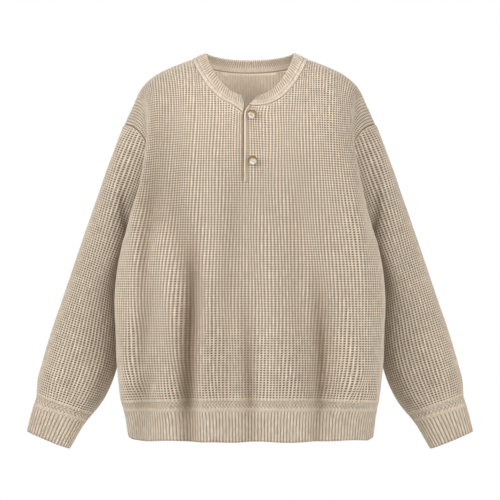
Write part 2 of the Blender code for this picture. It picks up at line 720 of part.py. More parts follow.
def make_placket_under():
    """The strip behind the opening, which carries the buttons."""
    z = np.linspace(SLIT_END_Z - 0.006, -0.1200, 12)
    across = np.linspace(-0.006, UNDER_WIDTH - 0.006, 5)
    points, n = placket_points(z, across, lifted=False)
    depth = WALL + 2 * SEAM_GAP
    outer, inner = points - n * depth, points - n * (depth + WALL * 0.8)
    return wall("placket_under", outer.reshape(-1, 3), inner.reshape(-1, 3), quads(0, len(z), len(across)), RIBBING)


def make_button(name, x, z):
    """A domed button with a raised rim on a short shank, turned, then set square to the knit."""
    profile = [(0.0001, -0.62), (0.30, -0.62), (0.30, 0), (0.60, 0), (0.93, 0.28), (1.0, 0.62), (0.93, 0.86), (0.80, 0.82), (0.45, 1.0), (0.0001, 1.06)]
    made = bmesh.new()
    points = [made.verts.new((r * BUTTON_R, 0, h * BUTTON_THICK)) for r, h in profile]
    edges = [made.edges.new(pair) for pair in zip(points, points[1:])]
    bmesh.ops.spin(made, geom=points + edges, cent=(0, 0, 0), axis=(0, 0, 1), angle=2 * math.pi, steps=20, use_merge=True)
    bmesh.ops.remove_doubles(made, verts=made.verts, dist=0.00025)
    bmesh.ops.recalc_face_normals(made, faces=made.faces)
    mesh = bpy.data.meshes.new(name)
    made.to_mesh(mesh)
    made.free()
    mesh.shade_smooth()
    obj = bpy.data.objects.new(name, mesh)
    sweater.objects.link(obj)
    spot, n = placket_points(np.array([z]), np.array([x - SLIT_X]))
    out = Vector(n[0, 0])
    obj.location = Vector(spot[0, 0]) + out * (SEAM_GAP + 0.0030)
    obj.rotation_euler = out.to_track_quat("Z", "Y").to_euler()
    paint(obj, BUTTON, 0.3)
    return obj


for old in list(bpy.data.objects):
    bpy.data.objects.remove(old)
sweater = bpy.data.collections.new("henley_sweater")
bpy.context.scene.collection.children.link(sweater)

KNIT = (0.56, 0.47, 0.36)
RIBBING = (0.60, 0.51, 0.40)
BUTTON = (0.62, 0.50, 0.34)

make_front()
make_back()
make_sleeve(1, "sleeve_right")
make_sleeve(-1, "sleeve_left")
make_cuff(1, "cuff_right")
make_cuff(-1, "cuff_left")
make_hem()
make_neckband()
make_placket_under()
make_button("button_top", 0.0038, -0.1170)
make_button("button_bottom", 0.0047, -0.1991)

print("triangles", sum(len(f.vertices) - 2 for o in sweater.objects for f in o.data.polygons))
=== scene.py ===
# Henley sweater in waffle knit, filled out as it is worn, dressed over the imported frame.
# Metres, +Z up, the front faces -Y. Right and left are the viewer's.
# The tables and curves below give each panel a form close to its solid's, with the folds of front and
# back laid one by one. The waffle, the ribs and the stitches are then raised on it.

import math

import bmesh
import bpy
import numpy as np
from mathutils import Matrix, Vector


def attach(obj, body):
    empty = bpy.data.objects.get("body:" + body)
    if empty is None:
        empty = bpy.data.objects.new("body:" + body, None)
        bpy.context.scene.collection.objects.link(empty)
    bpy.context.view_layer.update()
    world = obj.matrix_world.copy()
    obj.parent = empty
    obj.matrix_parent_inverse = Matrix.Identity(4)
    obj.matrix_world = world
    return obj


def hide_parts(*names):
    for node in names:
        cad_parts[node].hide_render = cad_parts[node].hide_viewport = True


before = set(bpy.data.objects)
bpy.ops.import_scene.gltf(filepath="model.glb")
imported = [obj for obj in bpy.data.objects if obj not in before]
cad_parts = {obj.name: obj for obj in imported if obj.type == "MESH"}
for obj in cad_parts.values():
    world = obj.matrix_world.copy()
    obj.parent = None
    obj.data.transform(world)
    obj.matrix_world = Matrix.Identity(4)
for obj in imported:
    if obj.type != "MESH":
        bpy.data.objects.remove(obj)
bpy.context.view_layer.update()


def table(columns, *rows):
    return {name: np.array([row[k] for row in rows], float) for k, name in enumerate(columns.split())}


# Cut of the sweater
cut = {
    "seamGap": 0.0003,
    "underarmZ": -0.345,
    "waffleEndZ": -0.6245,  # lower edge of front and back at the centre
    "waffleDroop": 0.0125,  # how much lower it hangs at the sides
    "hemEndZ": -0.6985,
    "hemCorner": 0.0035,  # how far the hem is drawn up at its sides
    "sideSeam": 0.54,  # of the half loop, from centre front to centre back
    "deepFold": 0.022,  # a fold this deep gets its full painted shade
    "neckHalf": 0.105,
    "neckDip": (0.0870, 0.0200),  # of the neck seam, in front and behind
    "freeHalf": 0.0787,  # the neckband's free edge
    "freeDip": (0.0812, 0.0100),
    "freeReach": (-0.071, -0.042),
    "panelHalf": 0.285,
    "slitX": -0.0109,
    "slitGap": 0.0020,
    "slitEndZ": -0.235,
    "slitLift": 0.0030,
    "slitCorner": 0.0084,  # how far the right side's top corner is drawn back
    "slitDrop": 0.0155,  # how much lower the left side hangs at the neckband
}
neckShare = cut["neckHalf"] / cut["panelHalf"]
facing = {"front": -1.0, "back": 1.0}

# level loops of the body
body = table(
    "z wide wideY front back frontFull frontSide backSide backFull",
    (-0.705, 0.2205, 0.000, -0.100, 0.097, 0.60, 0.52, 0.52, 0.60),
    (-0.645, 0.2250, 0.000, -0.105, 0.101, 0.60, 0.52, 0.52, 0.60),
    (-0.625, 0.2285, -0.002, -0.111, 0.105, 0.65, 0.52, 0.48, 0.60),
    (-0.600, 0.2340, -0.006, -0.117, 0.109, 0.68, 0.54, 0.44, 0.58),
    (-0.560, 0.2395, -0.014, -0.121, 0.112, 0.72, 0.56, 0.38, 0.57),
    (-0.500, 0.2415, -0.026, -0.122, 0.114, 0.74, 0.58, 0.32, 0.56),
    (-0.440, 0.2430, -0.034, -0.121, 0.115, 0.74, 0.58, 0.30, 0.55),
    (-0.390, 0.2380, -0.038, -0.120, 0.116, 0.74, 0.58, 0.30, 0.55),
    (-0.345, 0.2290, -0.040, -0.119, 0.117, 0.74, 0.58, 0.30, 0.55),
)
shoulder = table(
    "x z",
    (0.105, -0.0125),
    (0.143, -0.0270),
    (0.172, -0.0420),
    (0.189, -0.0560),
    (0.203, -0.0745),
    (0.215, -0.1000),
    (0.228, -0.1285),
)
armhole = {
    "front": table(
        "x y z",
        (0.2120, 0.000, -0.345),
        (0.1960, -0.027, -0.314),
        (0.1850, -0.039, -0.255),
        (0.1830, -0.043, -0.205),
        (0.1900, -0.039, -0.158),
        (0.2080, -0.024, -0.137),
        (0.2280, 0.000, -0.1285),
    ),
    "back": table(
        "x y z",
        (0.2120, 0.000, -0.345),
        (0.2050, 0.030, -0.320),
        (0.1990, 0.050, -0.264),
        (0.1990, 0.051, -0.205),
        (0.2090, 0.036, -0.152),
        (0.2280, 0.000, -0.1285),
    ),
}
sleeve = table(
    "outX outY outZ inX inY inZ depth",
    (0.2360, 0.004, -0.1500, 0.2205, 0.027, -0.3555, 0.0500),
    (0.2475, 0.009, -0.1800, 0.2245, 0.029, -0.3690, 0.0550),
    (0.2610, 0.015, -0.2150, 0.2275, 0.031, -0.3840, 0.0570),
    (0.2748, 0.021, -0.2550, 0.2295, 0.034, -0.4000, 0.0580),
    (0.2910, 0.027, -0.3000, 0.2310, 0.036, -0.4180, 0.0570),
    (0.3078, 0.033, -0.3480, 0.2315, 0.039, -0.4400, 0.0560),
    (0.3248, 0.038, -0.3970, 0.2320, 0.041, -0.4640, 0.0550),
    (0.3420, 0.042, -0.4470, 0.2330, 0.043, -0.4900, 0.0530),
    (0.3620, 0.043, -0.5050, 0.2385, 0.043, -0.5502, 0.0500),
    (0.3797, 0.041, -0.5630, 0.2550, 0.041, -0.6050, 0.0450),
    (0.3870, 0.039, -0.5920, 0.2690, 0.039, -0.6320, 0.0410),
    (0.3890, 0.036, -0.6215, 0.2880, 0.036, -0.6570, 0.0365),
)
cuff = table(
    "outX outY outZ inX inY inZ depth",
    (0.3890, 0.036, -0.6215, 0.2880, 0.036, -0.6570, 0.0355),
    (0.3937, 0.035, -0.6390, 0.2965, 0.035, -0.6680, 0.0325),
    (0.4057, 0.033, -0.6870, 0.3270, 0.033, -0.7190, 0.0310),
)
# folds laid one by one on front and back: each runs from a lower to an upper place, x and z in metres,
# as a soft trough (rise below 0) or ridge
folds = {
    "front": table(
        "lowX lowZ highX highZ halfWidth rise fade",
        (-0.224, -0.700, -0.204, -0.125, 0.012, 0.0060, 0.06),
        (-0.206, -0.740, -0.176, -0.200, 0.018, -0.0115, 0.10),
        (-0.166, -0.320, -0.158, -0.080, 0.018, -0.0060, 0.08),
        (-0.112, -0.400, -0.146, -0.200, 0.020, -0.0085, 0.10),
        (-0.152, -0.760, -0.148, -0.380, 0.013, 0.0075, 0.12),
        (-0.109, -0.780, -0.103, -0.330, 0.016, -0.0250, 0.18),
        (-0.124, -0.740, -0.120, -0.440, 0.010, -0.0030, 0.10),
        (-0.082, -0.720, -0.078, -0.340, 0.010, 0.0080, 0.12),
        (-0.050, -0.700, -0.024, -0.200, 0.016, -0.0060, 0.14),
        (-0.004, -0.780, -0.004, -0.440, 0.014, -0.0150, 0.14),
        (0.046, -0.760, 0.034, -0.220, 0.018, 0.0095, 0.18),
        (0.090, -0.620, 0.086, -0.200, 0.016, -0.0055, 0.12),
        (0.124, -0.760, 0.118, -0.380, 0.015, -0.0190, 0.16),
        (0.146, -0.720, 0.136, -0.460, 0.012, -0.0050, 0.10),
        (0.196, -0.680, 0.172, -0.230, 0.024, 0.0085, 0.12),
        (0.218, -0.700, 0.182, -0.120, 0.014, 0.0070, 0.08),
        (0.178, -0.640, 0.128, -0.440, 0.010, -0.0040, 0.08),
        (0.196, -0.600, 0.150, -0.380, 0.010, 0.0040, 0.08),
        (0.158, -0.640, 0.212, -0.540, 0.010, 0.0040, 0.04),
        (0.176, -0.640, 0.222, -0.560, 0.008, -0.0045, 0.04),
        (-0.204, -0.480, -0.150, -0.300, 0.011, 0.0035, 0.06),
        (-0.208, -0.600, -0.168, -0.500, 0.011, 0.0035, 0.04),
        (-0.188, -0.640, -0.168, -0.560, 0.009, -0.0035, 0.04),
    ),
    "back": table(
        "lowX lowZ highX highZ halfWidth rise fade",
        (-0.205, -0.700, -0.182, -0.160, 0.016, 0.0055, 0.08),
        (-0.160, -0.720, -0.138, -0.340, 0.014, -0.0085, 0.12),
        (-0.118, -0.720, -0.104, -0.300, 0.018, 0.0060, 0.14),
        (-0.070, -0.760, -0.060, -0.420, 0.013, -0.0080, 0.12),
        (-0.022, -0.700, -0.020, -0.240, 0.020, 0.0050, 0.14),
        (0.036, -0.760, 0.030, -0.380, 0.013, -0.0095, 0.14),
        (0.080, -0.720, 0.068, -0.280, 0.017, 0.0060, 0.14),
        (0.130, -0.720, 0.112, -0.400, 0.013, -0.0075, 0.12),
        (0.178, -0.700, 0.160, -0.180, 0.020, 0.0060, 0.12),
        (0.150, -0.300, 0.120, -0.120, 0.022, -0.0060, 0.07),
        (-0.150, -0.300, -0.120, -0.120, 0.022, -0.0060, 0.07),
        (0.205, -0.620, 0.168, -0.540, 0.009, -0.0030, 0.04),
    ),
}
# how the panels go over the yoke, from the underarm to the shoulder
yoke = {
    "chest": 0.085,  # how far the chest rises in line with the loops below it
    "bend": 0.050,  # how far down from the ridge it bends over
    "front": (0.096, 0.094, 0.094, 0.062),  # how far the bend stands off, from the centre to the armhole
    "back": (0.112, 0.108, 0.105, 0.074),
    "top": (0.044, 0.042, 0.038, 0.028),
    "neckRise": 0.014,
}


# Curves
def unit(vectors):
    return vectors / np.linalg.norm(vectors, axis=-1, keepdims=True)


def bell(value, width):
    return np.exp(-((value / width) ** 2))


def smoothStep(low, high, value):
    t = np.clip((value - low) / (high - low), 0, 1)
    return t * t * (3 - 2 * t)


def throughPoints(keys, values, at):
    # a smooth curve through values at rising keys
    keys, values, at = np.asarray(keys), np.asarray(values), np.asarray(at, float)
    shape = values.shape[1:]
    values = values.reshape(len(keys), -1)
    slopes = np.gradient(values, keys, axis=0)
    k = np.clip(np.searchsorted(keys, at, side="right") - 1, 0, len(keys) - 2)
    step = (keys[k + 1] - keys[k])[..., None]
    t = np.clip((at - keys[k])[..., None] / step, 0, 1)
    result = (
        (1 + 2 * t) * (1 - t) ** 2 * values[k]
        + t * (1 - t) ** 2 * step * slopes[k]
        + t * t * (3 - 2 * t) * values[k + 1]
        - t * t * (1 - t) * step * slopes[k + 1]
    )
    return result.reshape(at.shape + shape)


def bezierAt(controls, t):
    last = len(controls) - 1
    return sum(math.comb(last, k) * (1 - t) ** (last - k) * t**k * c for k, c in enumerate(controls))


def runLength(points):
    # the way along a row of points, or the mean way along many rows
    steps = np.linalg.norm(np.diff(points, axis=0), axis=-1)
    return np.r_[0, np.cumsum(steps if steps.ndim == 1 else steps.mean(1))]


def lookUp(at, keys, points):
    return np.stack([np.interp(at, keys, column) for column in points.T], axis=-1)


def evenlyAlong(points, at):
    length = runLength(points)
    return lookUp(np.asarray(at) * length[-1], length, points)


def runAlong(points, at, half):
    return evenlyAlong(points, np.clip(at + half, 0, 1)) - evenlyAlong(points, np.clip(at - half, 0, 1))


# Form of the body
def halfLoop(z, at):
    b = {name: throughPoints(body["z"], column, z) for name, column in body.items()}
    t = np.linspace(0, 1, 81)[:, None]
    wide, y = b["wide"], b["wideY"]
    front = [(0, b["front"]), (b["frontFull"] * wide, b["front"]),
             (wide, y + b["frontSide"] * (b["front"] - y)), (wide, y)]
    back = [(wide, y), (wide, y + b["backSide"] * (b["back"] - y)),
            (b["backFull"] * wide, b["back"]), (0, b["back"])]
    points = np.vstack([bezierAt([np.array(c) for c in q], t) for q in (front, back)])
    points = np.delete(points, len(t), axis=0)
    run = runAlong(points, at, 0.004)
    return evenlyAlong(points, at), unit(np.column_stack([run[:, 1], -run[:, 0]]))


def foldHeight(panel, s, x, z):
    # x by the viewer's right; the folds die away towards the side seams and into the ribs
    total = np.zeros(np.broadcast(x, z).shape)
    for lowX, lowZ, highX, highZ, half, rise, fade in zip(*folds[panel].values()):
        share = np.clip((z - lowZ) / (highZ - lowZ), -0.5, 1.5)
        middle = lowX + (highX - lowX) * share + 0.004 * np.sin(share * 5 + lowX * 90)
        ends = (smoothStep(lowZ - fade / 2, lowZ + fade / 2, z)
                * (1 - smoothStep(highZ - fade, highZ + fade / 3, z)))
        total += rise * bell(x - middle, half) * ends
    return total * (1 - 0.45 * smoothStep(-0.600, -0.665, z)) * (1 - smoothStep(0.90, 1.0, np.abs(s)))


# how far a point lies in a fold, which sets how much shade is painted on it
def sunkShare(height):
    return np.clip(-height / cut["deepFold"], 0, 1)


def levelRow(panel, s, z, folded=True):
    a, side = np.abs(s), np.where(s < 0, -1, 1)
    at = a * cut["sideSeam"] if panel == "front" else 1 - a * (1 - cut["sideSeam"])
    xy, out = halfLoop(z, at)
    if folded:
        xy = xy + out * foldHeight(panel, s, xy[:, 0] * side, z)[:, None]
    zeros = np.zeros(len(a))
    return np.column_stack([xy, zeros + z]), np.column_stack([out, zeros])


def neckSeam(angle):
    # angle is 0 at the centre front and pi at the centre back
    across, front = np.sin(angle), np.cos(angle) > 0
    dip = np.maximum(1 - np.abs(across) ** 2.6, 0) ** 0.8
    z = shoulder["z"][0] - np.where(front, *cut["neckDip"]) * dip
    seam = np.zeros((len(angle), 3))
    for panel, which in (("front", front), ("back", ~front)):
        s = neckShare * across[which]
        share = waleShares(panel, s, z[which])
        seam[which] = bezierAt(waleControls(panel, s), share[:, None])
    seam[:, 0] *= np.where(across < 0, -1, 1)
    return seam


def neckFreeEdge(angle):
    across, along = np.sin(angle), np.cos(angle)
    dip = np.maximum(1 - np.abs(across) ** 2.2, 0) ** 0.8
    y = np.where(along > 0, *cut["freeReach"]) * along
    return np.column_stack([cut["freeHalf"] * across, y, -np.where(along > 0, *cut["freeDip"]) * dip])


def neckNormal(angle, edge):
    ahead, behind = angle + 0.01, angle - 0.01
    across = (neckSeam(ahead) - neckSeam(behind)) * (1 - edge)
    across = across + (neckFreeEdge(ahead) - neckFreeEdge(behind)) * edge
    return unit(np.cross(across, neckFreeEdge(angle) - neckSeam(angle)))


def shoulderCurve(share):
    xz = np.column_stack([shoulder["x"], shoulder["z"]])
    line = throughPoints(shoulder["x"], xz, np.linspace(xz[0, 0], xz[-1, 0], 121))
    at = np.clip(share, 0, 1)
    run = unit(runAlong(line, at, 0.02))
    point, zero = evenlyAlong(line, at), np.zeros(len(at))
    return np.column_stack([point[:, 0], zero, point[:, 1]]), np.column_stack([run[:, 1], zero, -run[:, 0]])


def armholeSeam(panel, at):
    points = np.column_stack([*armhole[panel].values()])
    points[0] = levelRow("front", np.array([1.0]), cut["underarmZ"])[0][0]
    points[-1] = shoulderCurve(np.array([1.0]))[0][0]
    chord = runLength(points)
    return evenlyAlong(throughPoints(chord, points, np.linspace(0, chord[-1], 161)), at)


def waleControls(panel, s):
    # a wale from the underarm's height: up the chest, over the yoke, and in to the shoulder or neck
    a, face = np.abs(s), facing[panel]
    ridge, inwards = shoulderCurve((a - neckShare) / (1 - neckShare))
    neck = np.clip(1 - a / neckShare, 0, 1)
    ridge[:, 0] -= cut["neckHalf"] * neck
    ridge[:, 2] += yoke["neckRise"] * (1 - (1 - neck) ** 2)
    inwards = inwards * (1 - neck)[:, None] + np.array([0, 0, -1]) * neck[:, None]
    start = levelRow(panel, s, cut["underarmZ"], False)[0]
    rising = start - levelRow(panel, s, cut["underarmZ"] - 0.01, False)[0]
    bend, last = ridge + yoke["bend"] * inwards, ridge.copy()
    bend[:, 1] += face * np.interp(a, [0, neckShare, 0.7, 1], yoke[panel])
    last[:, 1] += face * np.interp(a, [0, neckShare, 0.75, 1], yoke["top"])
    return [start, start + yoke["chest"] * unit(rising), bend, last, ridge]


def waleShares(panel, s, z):
    fine = np.linspace(0, 1, 161)
    paths = bezierAt([c[None] for c in waleControls(panel, s)], fine[:, None, None])[..., 2]
    return np.array([np.interp(h, path, fine) for h, path in zip(z, paths.T)])


def neckAngles(panel, s):
    # which columns end at the neck seam, and at which angles round it
    neck = np.abs(s) < neckShare - 1e-6
    angle = np.arcsin(s[neck] / neckShare)
    return neck, angle if panel == "front" else math.pi - angle


def neckTrim(panel, s):
    share = np.ones(len(s))
    neck, angle = neckAngles(panel, s)
    share[neck] = waleShares(panel, s[neck], neckSeam(angle)[:, 2])
    return share


def bodySurface(panel, s, t):
    # s is -1 at the left edge and 1 at the right; t is 0 at the hem, 1 at the underarm, 2 at the top
    a = np.abs(s)
    controls, trim = waleControls(panel, s), neckTrim(panel, s)
    edge = waleControls(panel, np.array([1.0]))
    side, underarmOut = np.where(s < 0, -1, 1), levelRow(panel, s, cut["underarmZ"])[1]
    rows = []
    for step in t:
        if step <= 1:
            row = levelRow(panel, s, cut["waffleEndZ"] + (cut["underarmZ"] - cut["waffleEndZ"]) * step)[0]
            row[:, 2] -= cut["waffleDroop"] * a**2 * (1 - step) ** 2
        else:
            toSeam = armholeSeam(panel, np.array([step - 1])) - bezierAt(edge, step - 1)
            row = bezierAt(controls, ((step - 1) * trim)[:, None])
            row += smoothStep(0.70, 1.0, a)[:, None] * toSeam
            up = smoothStep(0, 0.5, step - 1)
            way = underarmOut * (1 - up) + np.array([0, facing[panel], 0]) * up
            height = foldHeight(panel, s, row[:, 0] * side, row[:, 2]) * (1 - smoothStep(1.78, 1.96, step))
            row += unit(way) * height[:, None]
        row[:, 0] *= side
        rows.append(row)
    return np.array(rows)


def bodyNormals(panel, s, t, points):
    h = 0.002
    across = bodySurface(panel, s + h, t) - bodySurface(panel, s - h, t)
    n = unit(np.cross(across, np.gradient(points, axis=0)) * -facing[panel])
    side = np.where(s < 0, -1, 1)
    neck, angle = neckAngles(panel, s)
    for row, step in enumerate(t):
        if step < 0.10:
            out = levelRow(panel, s, cut["waffleEndZ"])[1] * np.column_stack([side, s * 0 + 1, s * 0])
            mix = 1 - step / 0.10
            n[row] = n[row] * (1 - mix) + out * mix
        if step > 1.999:
            n[row] = -shoulderCurve((np.abs(s) - neckShare) / (1 - neckShare))[1]
            n[row, :, 0] *= side
            n[row][neck] = neckNormal(angle, 0.0)
    return unit(n)


def sleeveRings(rows, at):
    angle = 2 * math.pi * at
    rings = []
    for outX, outY, outZ, inX, inY, inZ, depth in zip(*rows.values()):
        outer, inner = np.array([outX, outY, outZ]), np.array([inX, inY, inZ])
        ring = (outer + inner) / 2 + np.cos(angle)[:, None] * (outer - inner) / 2
        ring[:, 1] -= depth * np.sin(angle)
        rings.append(ring)
    return np.array(rings)


def armholeRing(at):
    front = at <= 0.5
    ring = np.zeros((len(at), 3))
    ring[front] = armholeSeam("front", 1 - 2 * at[front])
    ring[~front] = armholeSeam("back", 2 * at[~front] - 1)
    return ring


def slitShape(points, n, right):
    # the right side is lifted and its top corner drawn back; the left side hangs lower at the neckband
    x, z = points[..., 0], points[..., 2]
    points = points.copy()
    if right:
        near = x - cut["slitX"]
        corner = cut["slitCorner"] * np.clip((z + 0.114) / 0.014, 0, 1) ** 1.2
        lift = cut["slitLift"] * smoothStep(cut["slitEndZ"], cut["slitEndZ"] + 0.022, z)
        points += n * (lift * np.exp(-near / 0.024))[..., None]
        points[..., 0] += corner * np.exp(-near / 0.030)
    else:
        above = np.clip((z - cut["slitEndZ"]) / 0.004, 0, 1)
        points[..., 0] -= cut["slitGap"] * above * np.exp(np.minimum(x - cut["slitX"], 0) / 0.010)
        near = np.clip((x + 0.035) / (cut["slitX"] + 0.035), 0, 1) ** 1.3
        beside = smoothStep(-0.190, -0.101, z) * (1 - smoothStep(-0.099, -0.079, z))
        drop = cut["slitDrop"] * near * beside
        points += drop[..., None] * (n * n[..., 2:] - np.array([0, 0, 1]))
    return points


# Meshes
def stitchChains(faces, idsA, keysA, idsB, keysB):
    # fills between two chains of points, side by side, matched by their row numbers
    i = j = 0
    while i < len(idsA) - 1 or j < len(idsB) - 1:
        nextA = keysA[i + 1] if i + 1 < len(idsA) else math.inf
        nextB = keysB[j + 1] if j + 1 < len(idsB) else math.inf
        if nextA == nextB:
            face = (idsA[i], idsB[j], idsB[j + 1], idsA[i + 1])
            i, j = i + 1, j + 1
        elif nextA < nextB:
            face = (idsA[i], idsB[j], idsA[i + 1])
            i += 1
        else:
            face = (idsA[i], idsB[j], idsB[j + 1])
            j += 1
        face = tuple(dict.fromkeys(face))
        if len(face) > 2:
            faces.append(face)


def stitchWalls(faces, outer, outerKeys, inner, innerKeys, chosen):
    # the outer side, the inner side, and the two ends between them; inner columns lie under chosen ones
    for c in range(len(outer) - 1):
        stitchChains(faces, outer[c], outerKeys[c], outer[c + 1], outerKeys[c + 1])
    for k in range(len(inner) - 1):
        stitchChains(faces, inner[k + 1], innerKeys[k + 1], inner[k], innerKeys[k])
    for end in (0, -1):
        outerEnds, innerEnds = [ids[end] for ids in outer], [ids[end] for ids in inner]
        stitchChains(faces, outerEnds, range(len(outer)), innerEnds, chosen)


def quads(ids):
    # faces between a grid of point numbers
    return np.stack([ids[:-1, :-1], ids[:-1, 1:], ids[1:, 1:], ids[1:, :-1]], axis=-1).reshape(-1, 4)


def newCloth():
    return {name: [] for name in ("points", "u", "v", "relief", "foldShade")}


def addPoints(cloth, placed, u, v, high, sunk=0.0):
    # a row or column of knit, with its place on the flat cloth, and the numbers of its points
    start, count = len(cloth["points"]), len(placed)
    cloth["points"].extend(placed)
    for name, values in (("u", u), ("v", v), ("relief", high), ("foldShade", sunk)):
        cloth[name].extend(np.broadcast_to(values, count))
    return list(range(start, start + count))


def readNumbers(items, what):
    values = np.zeros(len(items), int)
    items.foreach_get(what, values)
    return values


def makeCloth(name, cloth, faces, materials, insideFrom=None, wrap=None, creased=False):
    # a shell with a uv map in metres of wale and course, and how high each point stands in the knit, which
    # sets the shade painted in its hollows; a creased one also gets how deep in a fold each point lies, for
    # the painted fold shade
    mesh = bpy.data.meshes.new(name)
    mesh.from_pydata(np.asarray(cloth["points"]).tolist(), [], faces)
    made = bmesh.new()
    made.from_mesh(mesh)
    bmesh.ops.recalc_face_normals(made, faces=made.faces)
    if made.calc_volume(signed=True) < 0:
        bmesh.ops.reverse_faces(made, faces=made.faces)
    made.to_mesh(mesh)
    made.free()
    mesh.shade_smooth()
    corners, starts = readNumbers(mesh.loops, "vertex_index"), readNumbers(mesh.polygons, "loop_start")
    placed = np.column_stack([cloth["u"], cloth["v"]])[corners]
    if wrap:  # faces across the join of a tube
        widest = np.maximum.reduceat(placed[:, 0], starts)
        widest = np.repeat(widest, readNumbers(mesh.polygons, "loop_total"))
        placed[:, 0] += np.where(widest - placed[:, 0] > wrap / 2, wrap, 0)
    mesh.uv_layers.new(name="knit").data.foreach_set("uv", placed.ravel())
    for what in ("relief", "foldShade") if creased else ("relief",):
        values = mesh.attributes.new(what, "FLOAT", "POINT").data
        values.foreach_set("value", np.asarray(cloth[what], float))
    for material in materials:
        mesh.materials.append(material)
    if insideFrom is not None:
        inside = np.minimum.reduceat((corners >= insideFrom).astype(int), starts)
        mesh.polygons.foreach_set("material_index", inside)
    piece = bpy.data.objects.new(name, mesh)
    bpy.context.scene.collection.objects.link(piece)
    return piece


def place(piece, *nodes):
    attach(piece, "root")
    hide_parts(*nodes)
    return piece


# Materials
def newNode(tree, kind, inputs=(), **settings):
    node = tree.nodes.new(kind)
    for name, value in settings.items():
        setattr(node, name, value)
    for k, value in dict(inputs).items():
        if isinstance(value, bpy.types.NodeSocket):
            tree.links.new(value, node.inputs[k])
        else:
            node.inputs[k].default_value = value
    return node


def maths(operation, a, b=0.0):
    return newNode(a.id_data, "ShaderNodeMath", {0: a, 1: b}, operation=operation).outputs[0]


def times(a, b):
    return maths("MULTIPLY", a, b)


def ramp(value, low, high, start=0.0, end=1.0, kind="LINEAR"):
    inputs = {0: value, 1: low, 2: high, 3: start, 4: end}
    return newNode(value.id_data, "ShaderNodeMapRange", inputs, interpolation_type=kind).outputs[0]


def noise(where, scale, detail, distortion=0.0):
    inputs = {"Vector": where, "Scale": scale, "Detail": detail, "Distortion": distortion}
    return newNode(where.id_data, "ShaderNodeTexNoise", inputs).outputs[0]


def mixColour(tree, factor, a, b, blend="MIX"):
    node = newNode(tree, "ShaderNodeMix", {0: factor, 6: a, 7: b}, data_type="RGBA", blend_type=blend)
    return node.outputs[2]


def startMaterial(name, sockets):
    material = bpy.data.materials.new(name)
    material.use_nodes = True
    shader = material.node_tree.nodes["Principled BSDF"]
    for socket, value in sockets.items():
        shader.inputs[socket].default_value = value
    return material, material.node_tree, shader


def tone(colour, by):
    # no channel goes past 0.96, so a lighter tone keeps its hue
    by = min(by, 0.96 / max(colour))
    return (*[c * by for c in colour], 1)


yarn = {
    "colour": (0.760, 0.640, 0.500),
    # the colour of the shade painted into the knit's pits and hollows
    "pit": (0.070, 0.042, 0.020),
    # the colour of the shade painted into the folds
    "foldShade": (0.270, 0.190, 0.115),
    "rosy": (0.740, 0.570, 0.440),
    "grey": (0.600, 0.530, 0.440),
    "foldShadeStrength": 0.70,
    "rosyTone": 0.55,
    "greyTone": 0.65,
    "stitchWidth": 0.0027,
    "stitchHeight": 0.0022,
    "stitchDepth": 0.0005,
    "finish": {"Roughness": 0.92, "Specular IOR Level": 0.25, "Sheen Weight": 0.25, "Sheen Roughness": 0.5,
               "Sheen Tint": (1.0, 0.94, 0.86, 1)},
}


